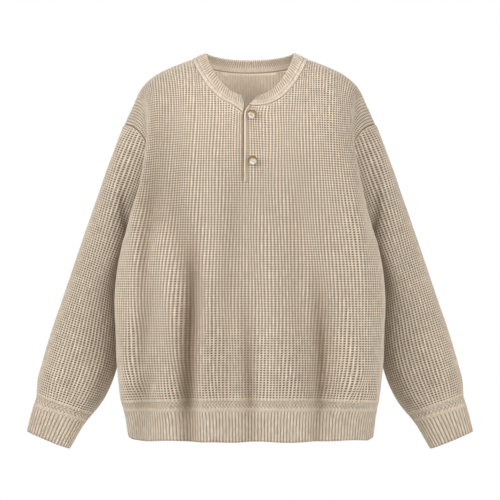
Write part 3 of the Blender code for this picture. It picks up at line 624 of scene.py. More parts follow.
def makeYarn(name, lighter=1.0, pit=0.30, stitchStrength=0.55, wales=0.0):
    # melange yarn: tones run along the wales, and shade is painted into the knit's pits and hollows, as
    # strongly as pit says
    material, tree, shader = startMaterial(name, yarn["finish"])
    base = yarn["colour"]
    uvMap = newNode(tree, "ShaderNodeUVMap", uv_map="knit")
    u, v, _ = newNode(tree, "ShaderNodeSeparateXYZ", {0: uvMap.outputs[0]}).outputs
    where = newNode(tree, "ShaderNodeTexCoord").outputs["Object"]

    def streaks(across, along, seed):
        # short lengths of one tone of the yarn
        flat = newNode(tree, "ShaderNodeCombineXYZ", {0: times(u, across), 1: times(v, along), 2: seed})
        return noise(flat.outputs[0], 1.0, 2.0)

    light = ramp(streaks(420, 60, 1.0), 0.36, 0.66)
    colour = mixColour(tree, light, tone(base, 0.82 * lighter), tone(base, 1.13 * lighter))
    rosy = times(ramp(streaks(260, 45, 7.0), 0.52, 0.70), yarn["rosyTone"])
    colour = mixColour(tree, rosy, colour, tone(yarn["rosy"], lighter))
    grey = times(ramp(streaks(300, 70, 13.0), 0.54, 0.70), yarn["greyTone"])
    colour = mixColour(tree, grey, colour, tone(yarn["grey"], lighter))
    broad = ramp(noise(where, 9.0, 3.0), 0.3, 0.7, 0.95, 1.05)
    colour = mixColour(tree, 1.0, colour, broad, "MULTIPLY")
    # painted shade: the lower a point stands in the knit, the nearer its colour comes to the pit colour
    relief = newNode(tree, "ShaderNodeAttribute", attribute_name="relief").outputs["Fac"]
    shade = ramp(relief, 0.20, 0.80, 1.0, 0.0, "SMOOTHSTEP")
    colour = mixColour(tree, times(shade, pit), colour, tone(yarn["pit"], lighter))

    # painted shade: the deeper a point lies in a fold, the darker its colour
    foldShade = newNode(tree, "ShaderNodeAttribute", attribute_name="foldShade").outputs["Fac"]
    colour = mixColour(tree, times(foldShade, yarn["foldShadeStrength"]), colour, tone(yarn["foldShade"], lighter))

    # stocking stitches, one v on the other up each wale
    across = maths("DIVIDE", u, yarn["stitchWidth"])
    fromMiddle = maths("ABSOLUTE", maths("SUBTRACT", maths("FRACT", across), 0.5))
    phase = maths("SUBTRACT", maths("DIVIDE", v, yarn["stitchHeight"]), times(fromMiddle, 1.6))
    chevron = maths("SINE", times(phase, 2 * math.pi))
    furrow = maths("COSINE", times(across, 2 * math.pi))
    height = maths("ADD", chevron, times(furrow, -0.6))
    if wales:  # the purl side: close wales without pits, with shade painted into the grooves between them
        rib = maths("COSINE", times(u, 2 * math.pi / wales))
        height = maths("ADD", times(height, 0.5), times(rib, 2.2))
        colour = mixColour(tree, 1.0, colour, ramp(rib, -1.0, 0.4, 0.90, 1.0), "MULTIPLY")
    height = maths("ADD", height, times(noise(where, 1400.0, 2.0), 0.8))
    bump = newNode(tree, "ShaderNodeBump",
                   {"Strength": stitchStrength, "Distance": yarn["stitchDepth"], "Height": height})
    tree.links.new(bump.outputs[0], shader.inputs["Normal"])
    tree.links.new(colour, shader.inputs["Base Color"])
    return material


# pit gives how strongly shade is painted into the hollows of each knit
waffleYarn = makeYarn("waffle_yarn", lighter=1.04, pit=0.97)
# the inside yarns are painted lighter than the outside one, as painted light where the neck opening shows the
# inside
insideYarn = makeYarn("inside_yarn", lighter=1.32, stitchStrength=0.35, wales=0.0054)
ribYarn = makeYarn("rib_yarn", lighter=0.94, pit=0.54)
stripYarn = makeYarn("strip_yarn", lighter=1.25, pit=0.60)
neckYarn = makeYarn("neck_yarn", lighter=0.91, pit=0.66)
litInsideRibYarn = makeYarn("lit_inside_rib_yarn", lighter=1.32, pit=0.42)
print("materials made")


# Front and back
waffle = {
    "wale": 0.0054,  # a wale is three columns, a course two rows
    "course": 0.0044,
    "bar": (1.0, 0.90, 0.78),  # how high a wale's columns stand in a course's first row
    "pit": (0.96, 0.22, 0.0),  # and in its second, where the pits are
    "insideRelief": 0.9,
    "rise": 0.0006,
    "depth": 0.0026,
    "wall": 0.0030,
    "lowCourses": 64,  # from the hem to the underarm
    "edgeRoll": 0.0016,
    "edgeHeight": 0.52,  # what the relief calms down to beside a seam
    "slitHeight": 0.75,
    "unevenness": 0.00012,
    "slide": (0.0024, 0.0012),  # how far a row wanders, in long and short waves
}
halfCourse = waffle["course"] / 2


def waffleHeight(third, rows):
    return np.where(np.arange(rows) % 2 == 0, waffle["bar"][third], waffle["pit"][third])


def calmEnds(height, top, keys):
    ends = np.maximum(top, bell(keys, 2.2))
    return height * (1 - 0.6 * ends) + waffle["edgeHeight"] * ends


def knitRise(height, stretch, roll, random):
    rise = waffle["rise"] - waffle["depth"] * stretch * (1 - height) - roll
    return rise + random.uniform(-1, 1, len(height)) * waffle["unevenness"]


def rowPlaces(length, gap):
    # half courses along a column, the last one at the seam
    places = np.arange(0, length, halfCourse)
    if length - places[-1] < 0.5 * halfCourse:
        places = places[:-1]
    return np.r_[places, length - gap]


def innerRows(keys, every):
    return [*range(0, len(keys) - 1, every), len(keys) - 1]


def wander(grid, s, middle, seed):
    # each row slides a little along itself, but not at the side seams or the slit
    rows, x = np.arange(len(grid))[:, None] * halfCourse, s[None] * cut["panelHalf"]
    far, near = waffle["slide"]
    slide = (far * np.sin(x * 52 + seed + 2.0 * np.sin(rows * 9 + seed)) * np.sin(rows * 11 + x * 6 + 1)
             + near * np.sin(x * 118 + rows * 21 + seed * 2))
    slide = slide * (1 - smoothStep(0.84, 0.98, np.abs(s))) * (1 - bell(s - middle, 0.06))
    at = s[None] + slide / cut["panelHalf"]
    return np.array([lookUp(a, s, row) for a, row in zip(at, grid)])


def panelColumns(panel, s, middle, seed):
    low = 2 * waffle["lowCourses"]
    t = np.r_[np.linspace(0, 1, low + 1)[:-1], np.linspace(1, 2, 141)]
    points = bodySurface(panel, s, t)
    n = wander(bodyNormals(panel, s, t, points), s, middle, seed)
    points = wander(points, s, middle, seed)
    columns = []
    for c in range(len(s)):
        length = runLength(points[low:, c])
        d = rowPlaces(length[-1], cut["seamGap"] if abs(s[c]) < 0.995 else 0)
        columns.append({
            "points": np.vstack([points[:low, c], lookUp(d, length, points[low:, c])]),
            "n": unit(np.vstack([n[:low, c], lookUp(d, length, n[low:, c])])),
            "keys": np.r_[np.arange(low + len(d) - 1), low + length[-1] / halfCourse],
            "toTop": np.r_[np.full(low, 1.0), length[-1] - d],
        })
    return columns


def makePanel(name, panel, node, seed):
    # the front is two sides, which share their points up to the slit's end
    wale, half, isFront = waffle["wale"] / cut["panelHalf"], cut["panelHalf"], panel == "front"
    middle = cut["slitX"] / half if isFront else 0.0
    edge = 1 - cut["seamGap"] / half
    thirds = np.arange(math.ceil((-edge - middle) / (wale / 3)), math.floor((edge - middle) / (wale / 3)) + 1)
    s = middle + thirds * wale / 3
    s = np.r_[-edge, s[1:-1], edge]
    columns = panelColumns(panel, s, middle, seed)
    random = np.random.default_rng(seed)
    sides, slitAt, slitRow = [(0, len(s) - 1)], None, 0
    if isFront:
        slitAt = int(np.flatnonzero(thirds == 0)[0])
        z = columns[slitAt]["points"][:, 2]
        slitRow = 2 * int(round(np.argmin(np.abs(z - cut["slitEndZ"])) / 2))
        sides = [(0, slitAt), (slitAt, len(s) - 1)]
    every = 2 if isFront else 4  # rows between two of the inner side

    def columnOf(c, part):
        p, n, keys, toTop = columns[c].values()
        return slitShape(p, n, part == 1) if isFront else p, n, keys, toTop

    cloth, shells, innerShells = newCloth(), [], []
    for part, (a, b) in enumerate(sides):
        ids = []
        for c in range(a, b + 1):
            p, n, keys, toTop = columnOf(c, part)
            # how deep in a fold each point lies, for the painted fold shade
            sunk = sunkShare(foldHeight(panel, s[c], p[:, 0], p[:, 2]))
            h = waffleHeight(thirds[c] % 3, len(keys))
            top = bell(toTop, 0.0030)
            atSide = bell((1 - abs(s[c])) * half, 0.0035) * (keys > 2 * waffle["lowCourses"] - 2)
            roll = waffle["edgeRoll"] * np.maximum(top, atSide)
            stretch = (0.9 + 0.16 * np.sin(s[c] * 9.0 + seed) * np.sin(keys * 0.021 + 1.3)
                       + 0.10 * np.sin(s[c] * 23 + keys * 0.03))
            if part == 1:  # the knit beside the slit is plain
                plain = 1 - smoothStep(0.0055, 0.0085, (s[c] - middle) * half)
                plain = plain * (np.arange(len(keys)) >= slitRow)
                h = h * (1 - plain) + waffle["slitHeight"] * plain
            h = calmEnds(h, top, keys)
            placed = p + n * knitRise(h, stretch, roll, random)[:, None]
            shared = shells[0][-1][: slitRow + 1] if part == 1 and c == a else []
            new = slice(len(shared), None)
            own = addPoints(cloth, placed[new], s[c] * half, keys[new] * halfCourse, h[new], sunk[new])
            ids.append(shared + own)
        shells.append(ids)
    insideFrom = len(cloth["points"])
    for part, (a, b) in enumerate(sides):
        ids, chosen = [], [c for c in range(a, b + 1) if thirds[c] % 3 == 0 or c in (a, b)]
        for c in chosen:
            p, n, keys, _ = columnOf(c, part)
            shared = innerShells[0][1][-1][: slitRow // every + 1] if part == 1 and c == a else []
            new = innerRows(keys, every)[len(shared):]
            placed = (p - n * waffle["wall"])[new]
            own = addPoints(cloth, placed, s[c] * half, keys[new] * halfCourse, waffle["insideRelief"])
            ids.append(shared + own)
        innerShells.append((chosen, ids))

    faces = []
    for (a, b), outer, (chosen, inner) in zip(sides, shells, innerShells):
        outerKeys = [columns[c]["keys"] for c in range(a, b + 1)]
        innerKeys = [columns[c]["keys"][innerRows(columns[c]["keys"], every)] for c in chosen]
        stitchWalls(faces, outer, outerKeys, inner, innerKeys, [c - a for c in chosen])
        for c, k in ((a, 0), (b, -1)):  # the two long edges
            low = slitRow if c == slitAt else 0
            inside = low // every
            stitchChains(faces, outer[k][low:], outerKeys[k][low:], inner[k][inside:], innerKeys[k][inside:])
    piece = makeCloth(name, cloth, faces, [waffleYarn, insideYarn], insideFrom, creased=True)
    place(piece, node)
    print(name, "faces", len(faces))


makePanel("front_panel", "front", "body_front", 5)
makePanel("back_panel", "back", "body_back", 11)
print("front and back made")

# Sleeves
sleeveKnit = {
    "wales": 62,
    "edgeRoll": 0.0012,
    "seamGap": 0.0006,
    "upArm": (-0.335, 0.0, 0.942),  # the way the wales run near the armhole
}
# folds of a sleeve: where round it (0 outer, 0.25 front, 0.5 under), how wide, how high, from the cuff up
sleeveFolds = table(
    "at halfWidth rise low high lean",
    (0.16, 0.035, 0.0035, 0.00, 0.14, 0.10),
    (0.25, 0.030, -0.0040, 0.00, 0.12, 0.15),
    (0.34, 0.035, 0.0035, 0.00, 0.16, 0.10),
    (0.05, 0.040, -0.0030, 0.02, 0.13, 0.05),
    (0.66, 0.040, 0.0035, 0.00, 0.14, 0.10),
    (0.78, 0.035, -0.0045, 0.00, 0.13, -0.10),
    (0.90, 0.035, 0.0035, 0.00, 0.12, -0.05),
    (0.36, 0.050, -0.0045, 0.20, 0.42, 0.35),
    (0.27, 0.045, 0.0035, 0.22, 0.44, 0.35),
    (0.72, 0.050, -0.0045, 0.18, 0.40, -0.30),
)


def sleeveColumns(at):
    # the wales run along the arm, and the armhole cuts them off
    gridAt = np.arange(145) / 144
    rings = np.concatenate([[armholeRing(gridAt)], sleeveRings(sleeve, gridAt)])[::-1]
    keys = runLength(rings)
    grid = throughPoints(keys, rings, np.linspace(0, keys[-1], 321))
    along, ring = np.gradient(grid, axis=0), grid[:, :-1]
    around = (np.roll(ring, -1, axis=1) - np.roll(ring, 1, axis=1)) / 2
    around = np.concatenate([around, around[:, :1]], axis=1)
    n = unit(np.cross(along, around))
    around = around * 144

    def pick(field, row):
        return lookUp(where % 1, gridAt, field[row])

    where, upArm = at, np.array(sleeveKnit["upArm"])
    traces, outwards = [pick(grid, 0)], [pick(n, 0)]
    for row in range(len(grid) - 1):
        step, side = pick(along, row), pick(around, row)
        bend = smoothStep(-0.440, -0.340, traces[-1][:, 2])[:, None]
        way = unit(step) * (1 - bend) + upArm * bend
        ss, sa, aa = (step * step).sum(1), (step * side).sum(1), (side * side).sum(1)
        ws, wa = (way * step).sum(1), (way * side).sum(1)
        turn = wa * ss - ws * sa
        turn = turn / np.maximum(ws * aa - wa * sa, 0.05 * np.abs(turn) + 1e-12)
        where = where + np.clip(turn, -0.02, 0.02)
        traces.append(pick(grid, row + 1))
        outwards.append(pick(n, row + 1))
    traces, outwards = np.array(traces), np.array(outwards)
    columns = []
    for c in range(len(at)):
        length = runLength(traces[:, c])
        d = rowPlaces(length[-1], sleeveKnit["seamGap"])
        out = unit(lookUp(d, length, outwards[:, c]))
        fold = np.zeros(len(d))
        for middle, wide, rise, low, high, lean in zip(*sleeveFolds.values()):
            across = (at[c] - middle - lean * (d - low) + 0.5) % 1 - 0.5
            fade = 0.6 * (high - low)
            span = smoothStep(low - 0.03, low + 0.05, d) * (1 - smoothStep(high - fade, high, d))
            fold += rise * bell(across, wide) * span
        columns.append({
            "points": lookUp(d, length, traces[:, c]) + out * fold[:, None],
            "n": out,
            "keys": np.r_[np.arange(len(d) - 1), length[-1] / halfCourse],
            "toTop": length[-1] - d,
        })
    return columns


def makeSleeve(name, side, node, seed):
    count = 3 * sleeveKnit["wales"]
    at = np.arange(count) / count
    columns = sleeveColumns(at)
    random = np.random.default_rng(seed)
    wide = sleeveKnit["wales"] * waffle["wale"]
    flip = np.array([side, 1, 1])
    cloth, outer, inner, chosen = newCloth(), [], [], list(range(0, count, 3))
    for c, (p, n, keys, toTop) in enumerate(column.values() for column in columns):
        top = bell(toTop, 0.0035)
        h = calmEnds(waffleHeight(c % 3, len(keys)), top, keys)
        stretch = 0.92 + 0.14 * np.sin(at[c] * 12.6 + seed) * np.sin(keys * 0.03)
        placed = (p + n * knitRise(h, stretch, sleeveKnit["edgeRoll"] * top, random)[:, None]) * flip
        outer.append(addPoints(cloth, placed, at[c] * wide, keys * halfCourse, h))
    insideFrom = len(cloth["points"])
    outerKeys = [column["keys"] for column in columns]
    innerKeys = [outerKeys[c][innerRows(outerKeys[c], 2)] for c in chosen]
    for c, keys in zip(chosen, innerKeys):
        placed = (columns[c]["points"] - columns[c]["n"] * waffle["wall"])[innerRows(outerKeys[c], 2)] * flip
        inner.append(addPoints(cloth, placed, at[c] * wide, keys * halfCourse, waffle["insideRelief"]))
    faces = []
    for chains in (outer, outerKeys, inner, innerKeys):  # the last column meets the first
        chains.append(chains[0])
    stitchWalls(faces, outer, outerKeys, inner, innerKeys, chosen + [count])
    piece = makeCloth(name, cloth, faces, [waffleYarn, insideYarn], insideFrom, wrap=wide)
    place(piece, node)


makeSleeve("right_sleeve", 1, "sleeve_right", 3)
makeSleeve("left_sleeve", -1, "sleeve_left", 8)
print("sleeves made")


# Ribbing
ribbing = {
    "pointsARib": 6,
    "rise": 0.0016,
    "groove": 0.21,  # of a rib's width
    "edgeTurn": 0.0004,
    "wall": 0.0034,
    "wallRise": 0.0007,
    "bandShare": 0.235,  # of the height, the zigzag band above the ribs
    "bandRows": 15,
    "ribRows": 12,
    "wallRows": 8,
    "holes": 0.0016,  # depth of the holes along the band's edges
    "zigzag": 0.0017,
}
cuffWaves = {"count": 3, "start": 0.7, "rise": 0.0016}


def ribProfile(phase, groove=ribbing["groove"]):
    # a broad round rib and a narrow groove
    return 1 - bell((phase % 1) - 0.5, groove)


def bandHeight(phase, row):
    # row runs from 0 at the waffle to 1 at the ribs: holes, plain zigzag, holes, a round edge
    zig = np.abs(((row * 1.9 + 0.25) % 1) - 0.5) * 2
    lines = 0.5 + 0.5 * np.cos(2 * math.pi * (phase + 0.9 * zig))
    holes = bell(row - 0.08, 0.06) + bell(row - 0.70, 0.06)
    hole = (0.5 + 0.5 * np.cos(2 * math.pi * (phase + 0.5))) ** 2 * holes
    edge = bell(row - 0.88, 0.09)
    plain = 1 - np.minimum(holes + 0.8 * edge, 1)
    return -ribbing["zigzag"] * (1 - lines) * plain - ribbing["holes"] * hole + ribbing["edgeTurn"] * edge


def makeRibbing(name, node, ribs, surface, flat, uneven, sunkAt):
    # surface gives points and the way out for places round the ring, at a share of its height
    # sunkAt gives how much fold shade is painted on each point
    count = ribs * ribbing["pointsARib"]
    at = np.arange(count) / count
    phase = at * ribs
    band, (wide, tall) = ribbing["bandShare"], flat
    bandRows = np.linspace(0, 1, ribbing["bandRows"])
    shares = np.r_[bandRows * band, band + (1 - band) * np.linspace(0.05, 1, ribbing["ribRows"])]
    cloth = newCloth()

    def addRow(share, rise, high, sunk):
        points, out = surface(at, share)
        placed = points + out * np.broadcast_to(rise, count)[:, None]
        addPoints(cloth, placed, at * wide, -share * tall, high, sunk)

    # each row's relief sets the shade painted into the ribs' grooves and the band's holes and zigzag
    for k, share in enumerate(shares):
        if k < len(bandRows):
            rise = bandHeight(phase, bandRows[k])
            high = 0.98 + rise / 0.0024
        else:
            last = k == len(shares) - 1
            start = min((k - len(bandRows) + 1) / 3, 1)
            depth = ribbing["rise"] * uneven(at) * start * (1 - 0.35 * last)
            high = ribProfile(phase)
            rise = -depth * (1 - high) - ribbing["edgeTurn"] * last
        addRow(share, rise, np.clip(high, 0, 1), sunkAt(at, share))
    back = ribProfile(phase + 0.5)
    # the inside rows get painted shade in the grooves between the ribs
    for share in np.linspace(0.985, 0, ribbing["wallRows"]):
        wall = ribbing["wall"] if share > band else waffle["wall"] + 0.0002
        rise = -wall - ribbing["wallRise"] * smoothStep(band, band + 0.1, share) * back
        addRow(share, rise, 0.5 + 0.5 * back, 0.0)
    ids = np.arange(len(cloth["points"])).reshape(-1, count)
    faces = quads(np.pad(ids, ((0, 1), (0, 1)), mode="wrap")).tolist()
    piece = makeCloth(name, cloth, faces, [ribYarn], wrap=wide, creased=True)
    place(piece, node)


def hemSurface(at, share):
    q = np.where(at < 0.5, 2 * at, 2 - 2 * at)
    sign = np.where(at < 0.5, 1, -1)
    z = cut["waffleEndZ"] - 0.00005 + (cut["hemEndZ"] - cut["waffleEndZ"]) * share
    front = q <= cut["sideSeam"]
    s = np.where(front, q / cut["sideSeam"], (1 - q) / (1 - cut["sideSeam"])) * sign
    ring, out = np.zeros((len(at), 3)), np.zeros((len(at), 3))
    for panel, which in (("front", front), ("back", ~front)):
        ring[which], out[which] = levelRow(panel, s[which], z)
    ring[:, 2] -= cut["waffleDroop"] * np.abs(s) ** 2 * (1 - share) ** 2
    turn = 2 * math.pi * at
    ring[:, 2] += share**3 * (0.0009 * np.sin(7 * turn + 1) + 0.0006 * np.sin(12 * turn))
    ring[:, 2] += cut["hemCorner"] * share**4 * bell(np.abs(ring[:, 0]) - 0.2215, 0.006)
    ring[:, 0] *= sign
    out[:, 0] *= sign
    return ring, out


def hemUneven(at):
    return 0.75 + 0.35 * np.cos(2 * math.pi * at * 2) + 0.15 * np.sin(2 * math.pi * at * 9 + 0.5)


# painted fold shade on the hem, in line with the folds above it
def hemSunk(at, share):
    ring = hemSurface(at, share)[0]
    heights = [foldHeight(panel, 0, ring[:, 0], ring[:, 2]) for panel in ("front", "back")]
    return sunkShare(np.where(ring[:, 1] < 0, *heights))


def cuffWave(at):
    return np.sin(2 * math.pi * at * cuffWaves["count"] + cuffWaves["start"])


def cuffSurface(side):
    def surface(at, share):
        rings = sleeveRings(cuff, at)
        heights = runLength(rings)
        place = share * (heights[-1] - 0.0001) + 0.0001
        ring = throughPoints(heights, rings, np.array([place]))[0]
        around = np.roll(ring, -1, axis=0) - np.roll(ring, 1, axis=0)
        normal = np.cross(ring[0] - ring.mean(0), ring[len(ring) // 4] - ring.mean(0))
        out = unit(np.cross(around, normal))
        wave = cuffWaves["rise"] * cuffWave(at) * smoothStep(0.0, 0.5, share)
        flip = np.array([side, 1, 1])
        return (ring + out * wave[:, None]) * flip, out * flip

    return surface


def cuffUneven(at):
    return 0.95 + 0.15 * np.sin(2 * math.pi * at * cuffWaves["count"])


# painted shade in the troughs of the cuff's waves
def cuffSunk(at, share):
    return 0.25 * np.maximum(-cuffWave(at), 0) * share


makeRibbing("hem_ribbing", "hem", 184, hemSurface, (1.060, 0.078), hemUneven, hemSunk)
for side, which in ((1, "right"), (-1, "left")):
    makeRibbing(which + "_cuff", "cuff_" + which, 42, cuffSurface(side), (0.240, 0.068), cuffUneven, cuffSunk)
print("ribbing made")

# Neckband
neckband = {
    "ribs": 128,
    "pointsARib": 5,
    "rise": 0.0016,
    "crown": 0.0012,
    "edgeTurn": (0.0012, 0.0010),  # how far its free edge turns in, outside and inside
    "strip": 0.27,  # the plain strip along the seam
    "wall": 0.0034,
    "long": 0.600,
    "tall": 0.027,
    "rightEnd": 0.0107,  # x of its ends at the free edge
    "leftEnd": -0.0131,
    "endAngle": 0.9,
    "tip": 0.0025,
    # rows of points, 0 at the seam and 1 at the free edge
    "outside": [0.012, 0.03, 0.08, 0.14, 0.20, 0.25, 0.285, 0.32, 0.38, 0.46, 0.56, 0.66, 0.76, 0.86, 0.94,
                0.985, 1.0],
    "inside": [1.0, 0.96, 0.85, 0.70, 0.55, 0.40, 0.30, 0.26, 0.15, 0.012],
}


def neckSurface(share, edge):
    # share runs round the band from one side of the slit to the other, edge from its seam to its free edge
    half = cut["neckHalf"] + (cut["freeHalf"] - cut["neckHalf"]) * edge
    low = math.asin(cut["slitX"] / cut["neckHalf"])
    angle = low + 2 * math.pi * share
    tip = neckband["tip"] * math.sin(math.pi * edge) ** 2
    ends = (neckband["rightEnd"] * edge, neckband["leftEnd"] * edge + tip)
    first, last = (math.asin((cut["slitX"] * (1 - edge) + x) / half) - low for x in ends)
    angle = (angle + first * np.maximum(1 - (angle - low) / neckband["endAngle"], 0) ** 2
             + last * np.maximum(1 - (low + 2 * math.pi - angle) / neckband["endAngle"], 0) ** 2)
    points = neckSeam(angle) * (1 - edge) + neckFreeEdge(angle) * edge
    n = neckNormal(angle, edge)
    for which, right in ((angle < math.pi / 2, True), (angle > 1.5 * math.pi, False)):
        points[which] = slitShape(points[which], n[which], right)
    return points, n


def makeNeckband():
    count = neckband["ribs"] * neckband["pointsARib"] + 1
    share = np.linspace(0, 1, count)
    phase = share * neckband["ribs"]
    ribs, back = 0.86 * ribProfile(phase) + 0.14, ribProfile(phase + 0.5, 0.2)
    cloth = newCloth()

    def addEdge(edge, rise, high):
        points, n = neckSurface(share, edge)
        placed = points + n * np.broadcast_to(rise, count)[:, None]
        addPoints(cloth, placed, share * neckband["long"], edge * neckband["tall"], high)

    # the relief given to each row sets the shade painted into the grooves between the ribs and along the
    # linking line
    for edge in neckband["outside"]:
        if edge < 0.30:  # plain strip, round across, with the linking line beside it
            crown = math.sin(math.pi * np.clip(edge / neckband["strip"], 0, 1)) ** 0.6
            rise, high = 0.0009 * crown - 0.0010 * (edge > 0.26), 0.35 + 0.65 * crown
        else:
            start = smoothStep(0.30, 0.50, edge) * 0.8 + 0.2
            high = 1 - (1 - ribs) * start * (1 - smoothStep(0.88, 1.0, edge) * 0.7)
            rise = (neckband["crown"] * math.sin(math.pi * edge) - neckband["rise"] * (1 - high)
                    - neckband["edgeTurn"][0] * smoothStep(0.93, 1.0, edge))
        addEdge(edge, rise, high)
    insideFrom = len(cloth["points"])
    # the inside ribs get painted shade in their grooves
    for edge in neckband["inside"]:
        inRibs = smoothStep(0.28, 0.45, edge)
        deep = waffle["wall"]
        if edge > 0.28:
            deep = neckband["wall"] - neckband["edgeTurn"][1] * smoothStep(0.93, 1.0, edge)
        rise = neckband["crown"] * math.sin(math.pi * edge) - deep + 0.0008 * inRibs * (1 - back)
        addEdge(edge, rise, 1 - 0.80 * back * inRibs)
    ids = np.arange(len(cloth["points"])).reshape(-1, count)
    faces = quads(np.pad(ids, ((0, 1), (0, 0)), mode="wrap")).tolist()
    faces += [ids[:, 0].tolist(), ids[:, -1].tolist()]
    piece = makeCloth("neck_ribbing", cloth, faces, [neckYarn, litInsideRibYarn], insideFrom)
    place(piece, "neckband")


makeNeckband()
print("neckband made")

# Placket
placket = {
    "edgeWidth": 0.0072,
    "edgeFlat": (0.0105, 0.140),
    "edgeColumns": [0.0, 0.0003, 0.0010, 0.0018, 0.0026, 0.0032, 0.0040, 0.0052, 0.0064, 0.0072],
    "beadMiddle": 0.0015,  # round selvedge at the opening
    "beadHalf": 0.0017,
    "beadRise": 0.0029,
    "plainRise": 0.0007,
    "underFlat": (0.0260, 0.121),
    "underStart": -0.006,
    "underTopZ": -0.1200,
    "underWall": 0.0024,
}


def placketGrid(across, z, right=True):
    fine = np.linspace(1, 2, 161)
    s = (cut["slitX"] + across) / cut["panelHalf"]
    sheet = bodySurface("front", s, fine)
    n = bodyNormals("front", s, fine, sheet)
    if right:
        sheet = slitShape(sheet, n, True)
    points, out = np.zeros((len(z), len(s), 3)), np.zeros((len(z), len(s), 3))
    for c in range(len(s)):
        heights = np.maximum.accumulate(sheet[:, c, 2])
        at = np.interp(np.minimum(z, heights[-1] - 0.0003), heights, fine)
        points[:, c], out[:, c] = lookUp(at, fine, sheet[:, c]), lookUp(at, fine, n[:, c])
    return points, unit(out)


def makeStrip(name, node, points, out, high, low, flat, material, heights):
    # a flat strip from a grid of points, with its upper and lower side at their heights; heights gives each
    # column's relief, which sets the shade painted on it
    rows, columns = points.shape[:2]
    cloth, (wide, tall) = newCloth(), flat
    for side in (high, low):
        placed = (points + out * side[None, :, None]).reshape(-1, 3)
        u, v = np.tile(np.linspace(0, wide, columns), rows), np.repeat(np.linspace(0, tall, rows), columns)
        addPoints(cloth, placed, u, v, np.tile(heights, rows))
    count = rows * columns
    ids = np.arange(count).reshape(rows, columns)
    upper = quads(ids)
    rim = np.r_[ids[0], ids[1:, -1], ids[-1, -2::-1], ids[-2:0:-1, 0]]
    after = np.roll(rim, -1)
    edges = np.column_stack([rim, after, count + after, count + rim])
    faces = np.vstack([upper, count + upper[:, [0, 3, 2, 1]], edges])
    piece = makeCloth(name, cloth, faces.tolist(), [material])
    place(piece, node)


def makeEdge():
    across, width = np.array(placket["edgeColumns"]), placket["edgeWidth"]
    top = bodySurface("front", (cut["slitX"] + across) / cut["panelHalf"], [2.0])[0, 0, 2]
    points, out = placketGrid(across, np.linspace(cut["slitEndZ"] - 0.002, top - 0.0004, 48))
    fromMiddle = (across - placket["beadMiddle"]) / placket["beadHalf"]
    bead = np.sqrt(np.clip(1 - fromMiddle**2, 0, 1)) * placket["beadRise"]
    plain = placket["plainRise"] * (1 - smoothStep(0.0055, width, across) * 0.6)
    high, low = np.maximum(bead, plain) + 0.0004, np.full(len(across), -0.0006)
    # the plain part beside the bead gets a low relief, so shade is painted on it
    makeStrip("placket_strip", "placket_edge", points, out, high, low, placket["edgeFlat"], stripYarn,
              np.where(bead > plain, 1.0, 0.36))


def makeUnder():
    across = np.linspace(placket["underStart"], placket["underFlat"][0] + placket["underStart"], 12)
    z = np.linspace(cut["slitEndZ"] - 0.006, placket["underTopZ"], 40)
    points, out = placketGrid(across, z, right=False)
    depth = waffle["wall"] + 2 * cut["seamGap"]
    ripple = 0.0003 * np.cos(np.arange(len(across)) * math.pi)
    # a middling relief paints the underlap darker, as shade where it lies behind the slit
    makeStrip("placket_underlap", "placket_under", points, out, -depth + ripple - 0.0003,
              np.full(len(across), -depth - placket["underWall"]), placket["underFlat"], ribYarn,
              np.full(len(across), 0.5))


makeEdge()
makeUnder()
print("placket made")

# Buttons
button = {
    "radius": 0.0085,
    "thick": 0.0042,
    "standOff": 0.0033,
    "shank": (0.30, 0.62),  # its radius and its length, as shares of the radius and the thickness
    # from the shank's top out to the rim and in over the dished face, in the same shares
    "radii": [0.30, 0.58, 0.93, 1.0, 0.985, 0.93, 0.84, 0.78, 0.45, 0.15],
    "heights": [0.0, 0.02, 0.25, 0.52, 0.74, 0.86, 0.86, 0.78, 0.98, 1.05],
    # pale, pearly colour, partly the button's own and partly a painted reflection on the centre and the side
    # away from the crescent
    "pearlGlint": (0.74, 0.70, 0.60, 1),
    "grey": (0.38, 0.33, 0.26, 1),
    "amber": (0.34, 0.20, 0.07, 1),
    "ring": (0.13, 0.075, 0.03, 1),
    "finish": {"Roughness": 0.16, "Coat Weight": 0.6, "Coat Roughness": 0.06},
}


def vectorMaths(operation, a, b=(0, 0, 0), output=0):
    return newNode(a.id_data, "ShaderNodeVectorMath", {0: a, 1: b}, operation=operation).outputs[output]


def makePearlGlint(name, centre, towards):
    # a pale, pearly face that is partly the button's own colour and partly a painted reflection, with an
    # amber crescent on the side given by towards and a dark line inside the rim
    material, tree, shader = startMaterial(name, button["finish"])
    where = newNode(tree, "ShaderNodeTexCoord").outputs["Object"]
    local = vectorMaths("SUBTRACT", where, centre)
    side = vectorMaths("DOT_PRODUCT", local, towards, "Value")
    out = vectorMaths("LENGTH", vectorMaths("MULTIPLY", local, (1, 0, 1)), output="Value")
    cloudy = times(maths("SUBTRACT", noise(where, 260.0, 3.0, 1.2), 0.5), 0.7)
    spread = maths("DIVIDE", maths("ADD", times(side, 0.62), times(out, 0.80)), button["radius"])
    crescent = ramp(maths("ADD", spread, cloudy), 0.40, 0.66, kind="SMOOTHSTEP")
    rim = ramp(maths("DIVIDE", out, button["radius"]), 0.78, 0.93, 0.0, 0.9, "SMOOTHSTEP")
    pearlGlint = mixColour(tree, ramp(noise(where, 230.0, 3.0), 0.35, 0.65), button["grey"], button["pearlGlint"])
    colour = mixColour(tree, rim, mixColour(tree, crescent, pearlGlint, button["amber"]), button["ring"])
    tree.links.new(colour, shader.inputs["Base Color"])
    return material


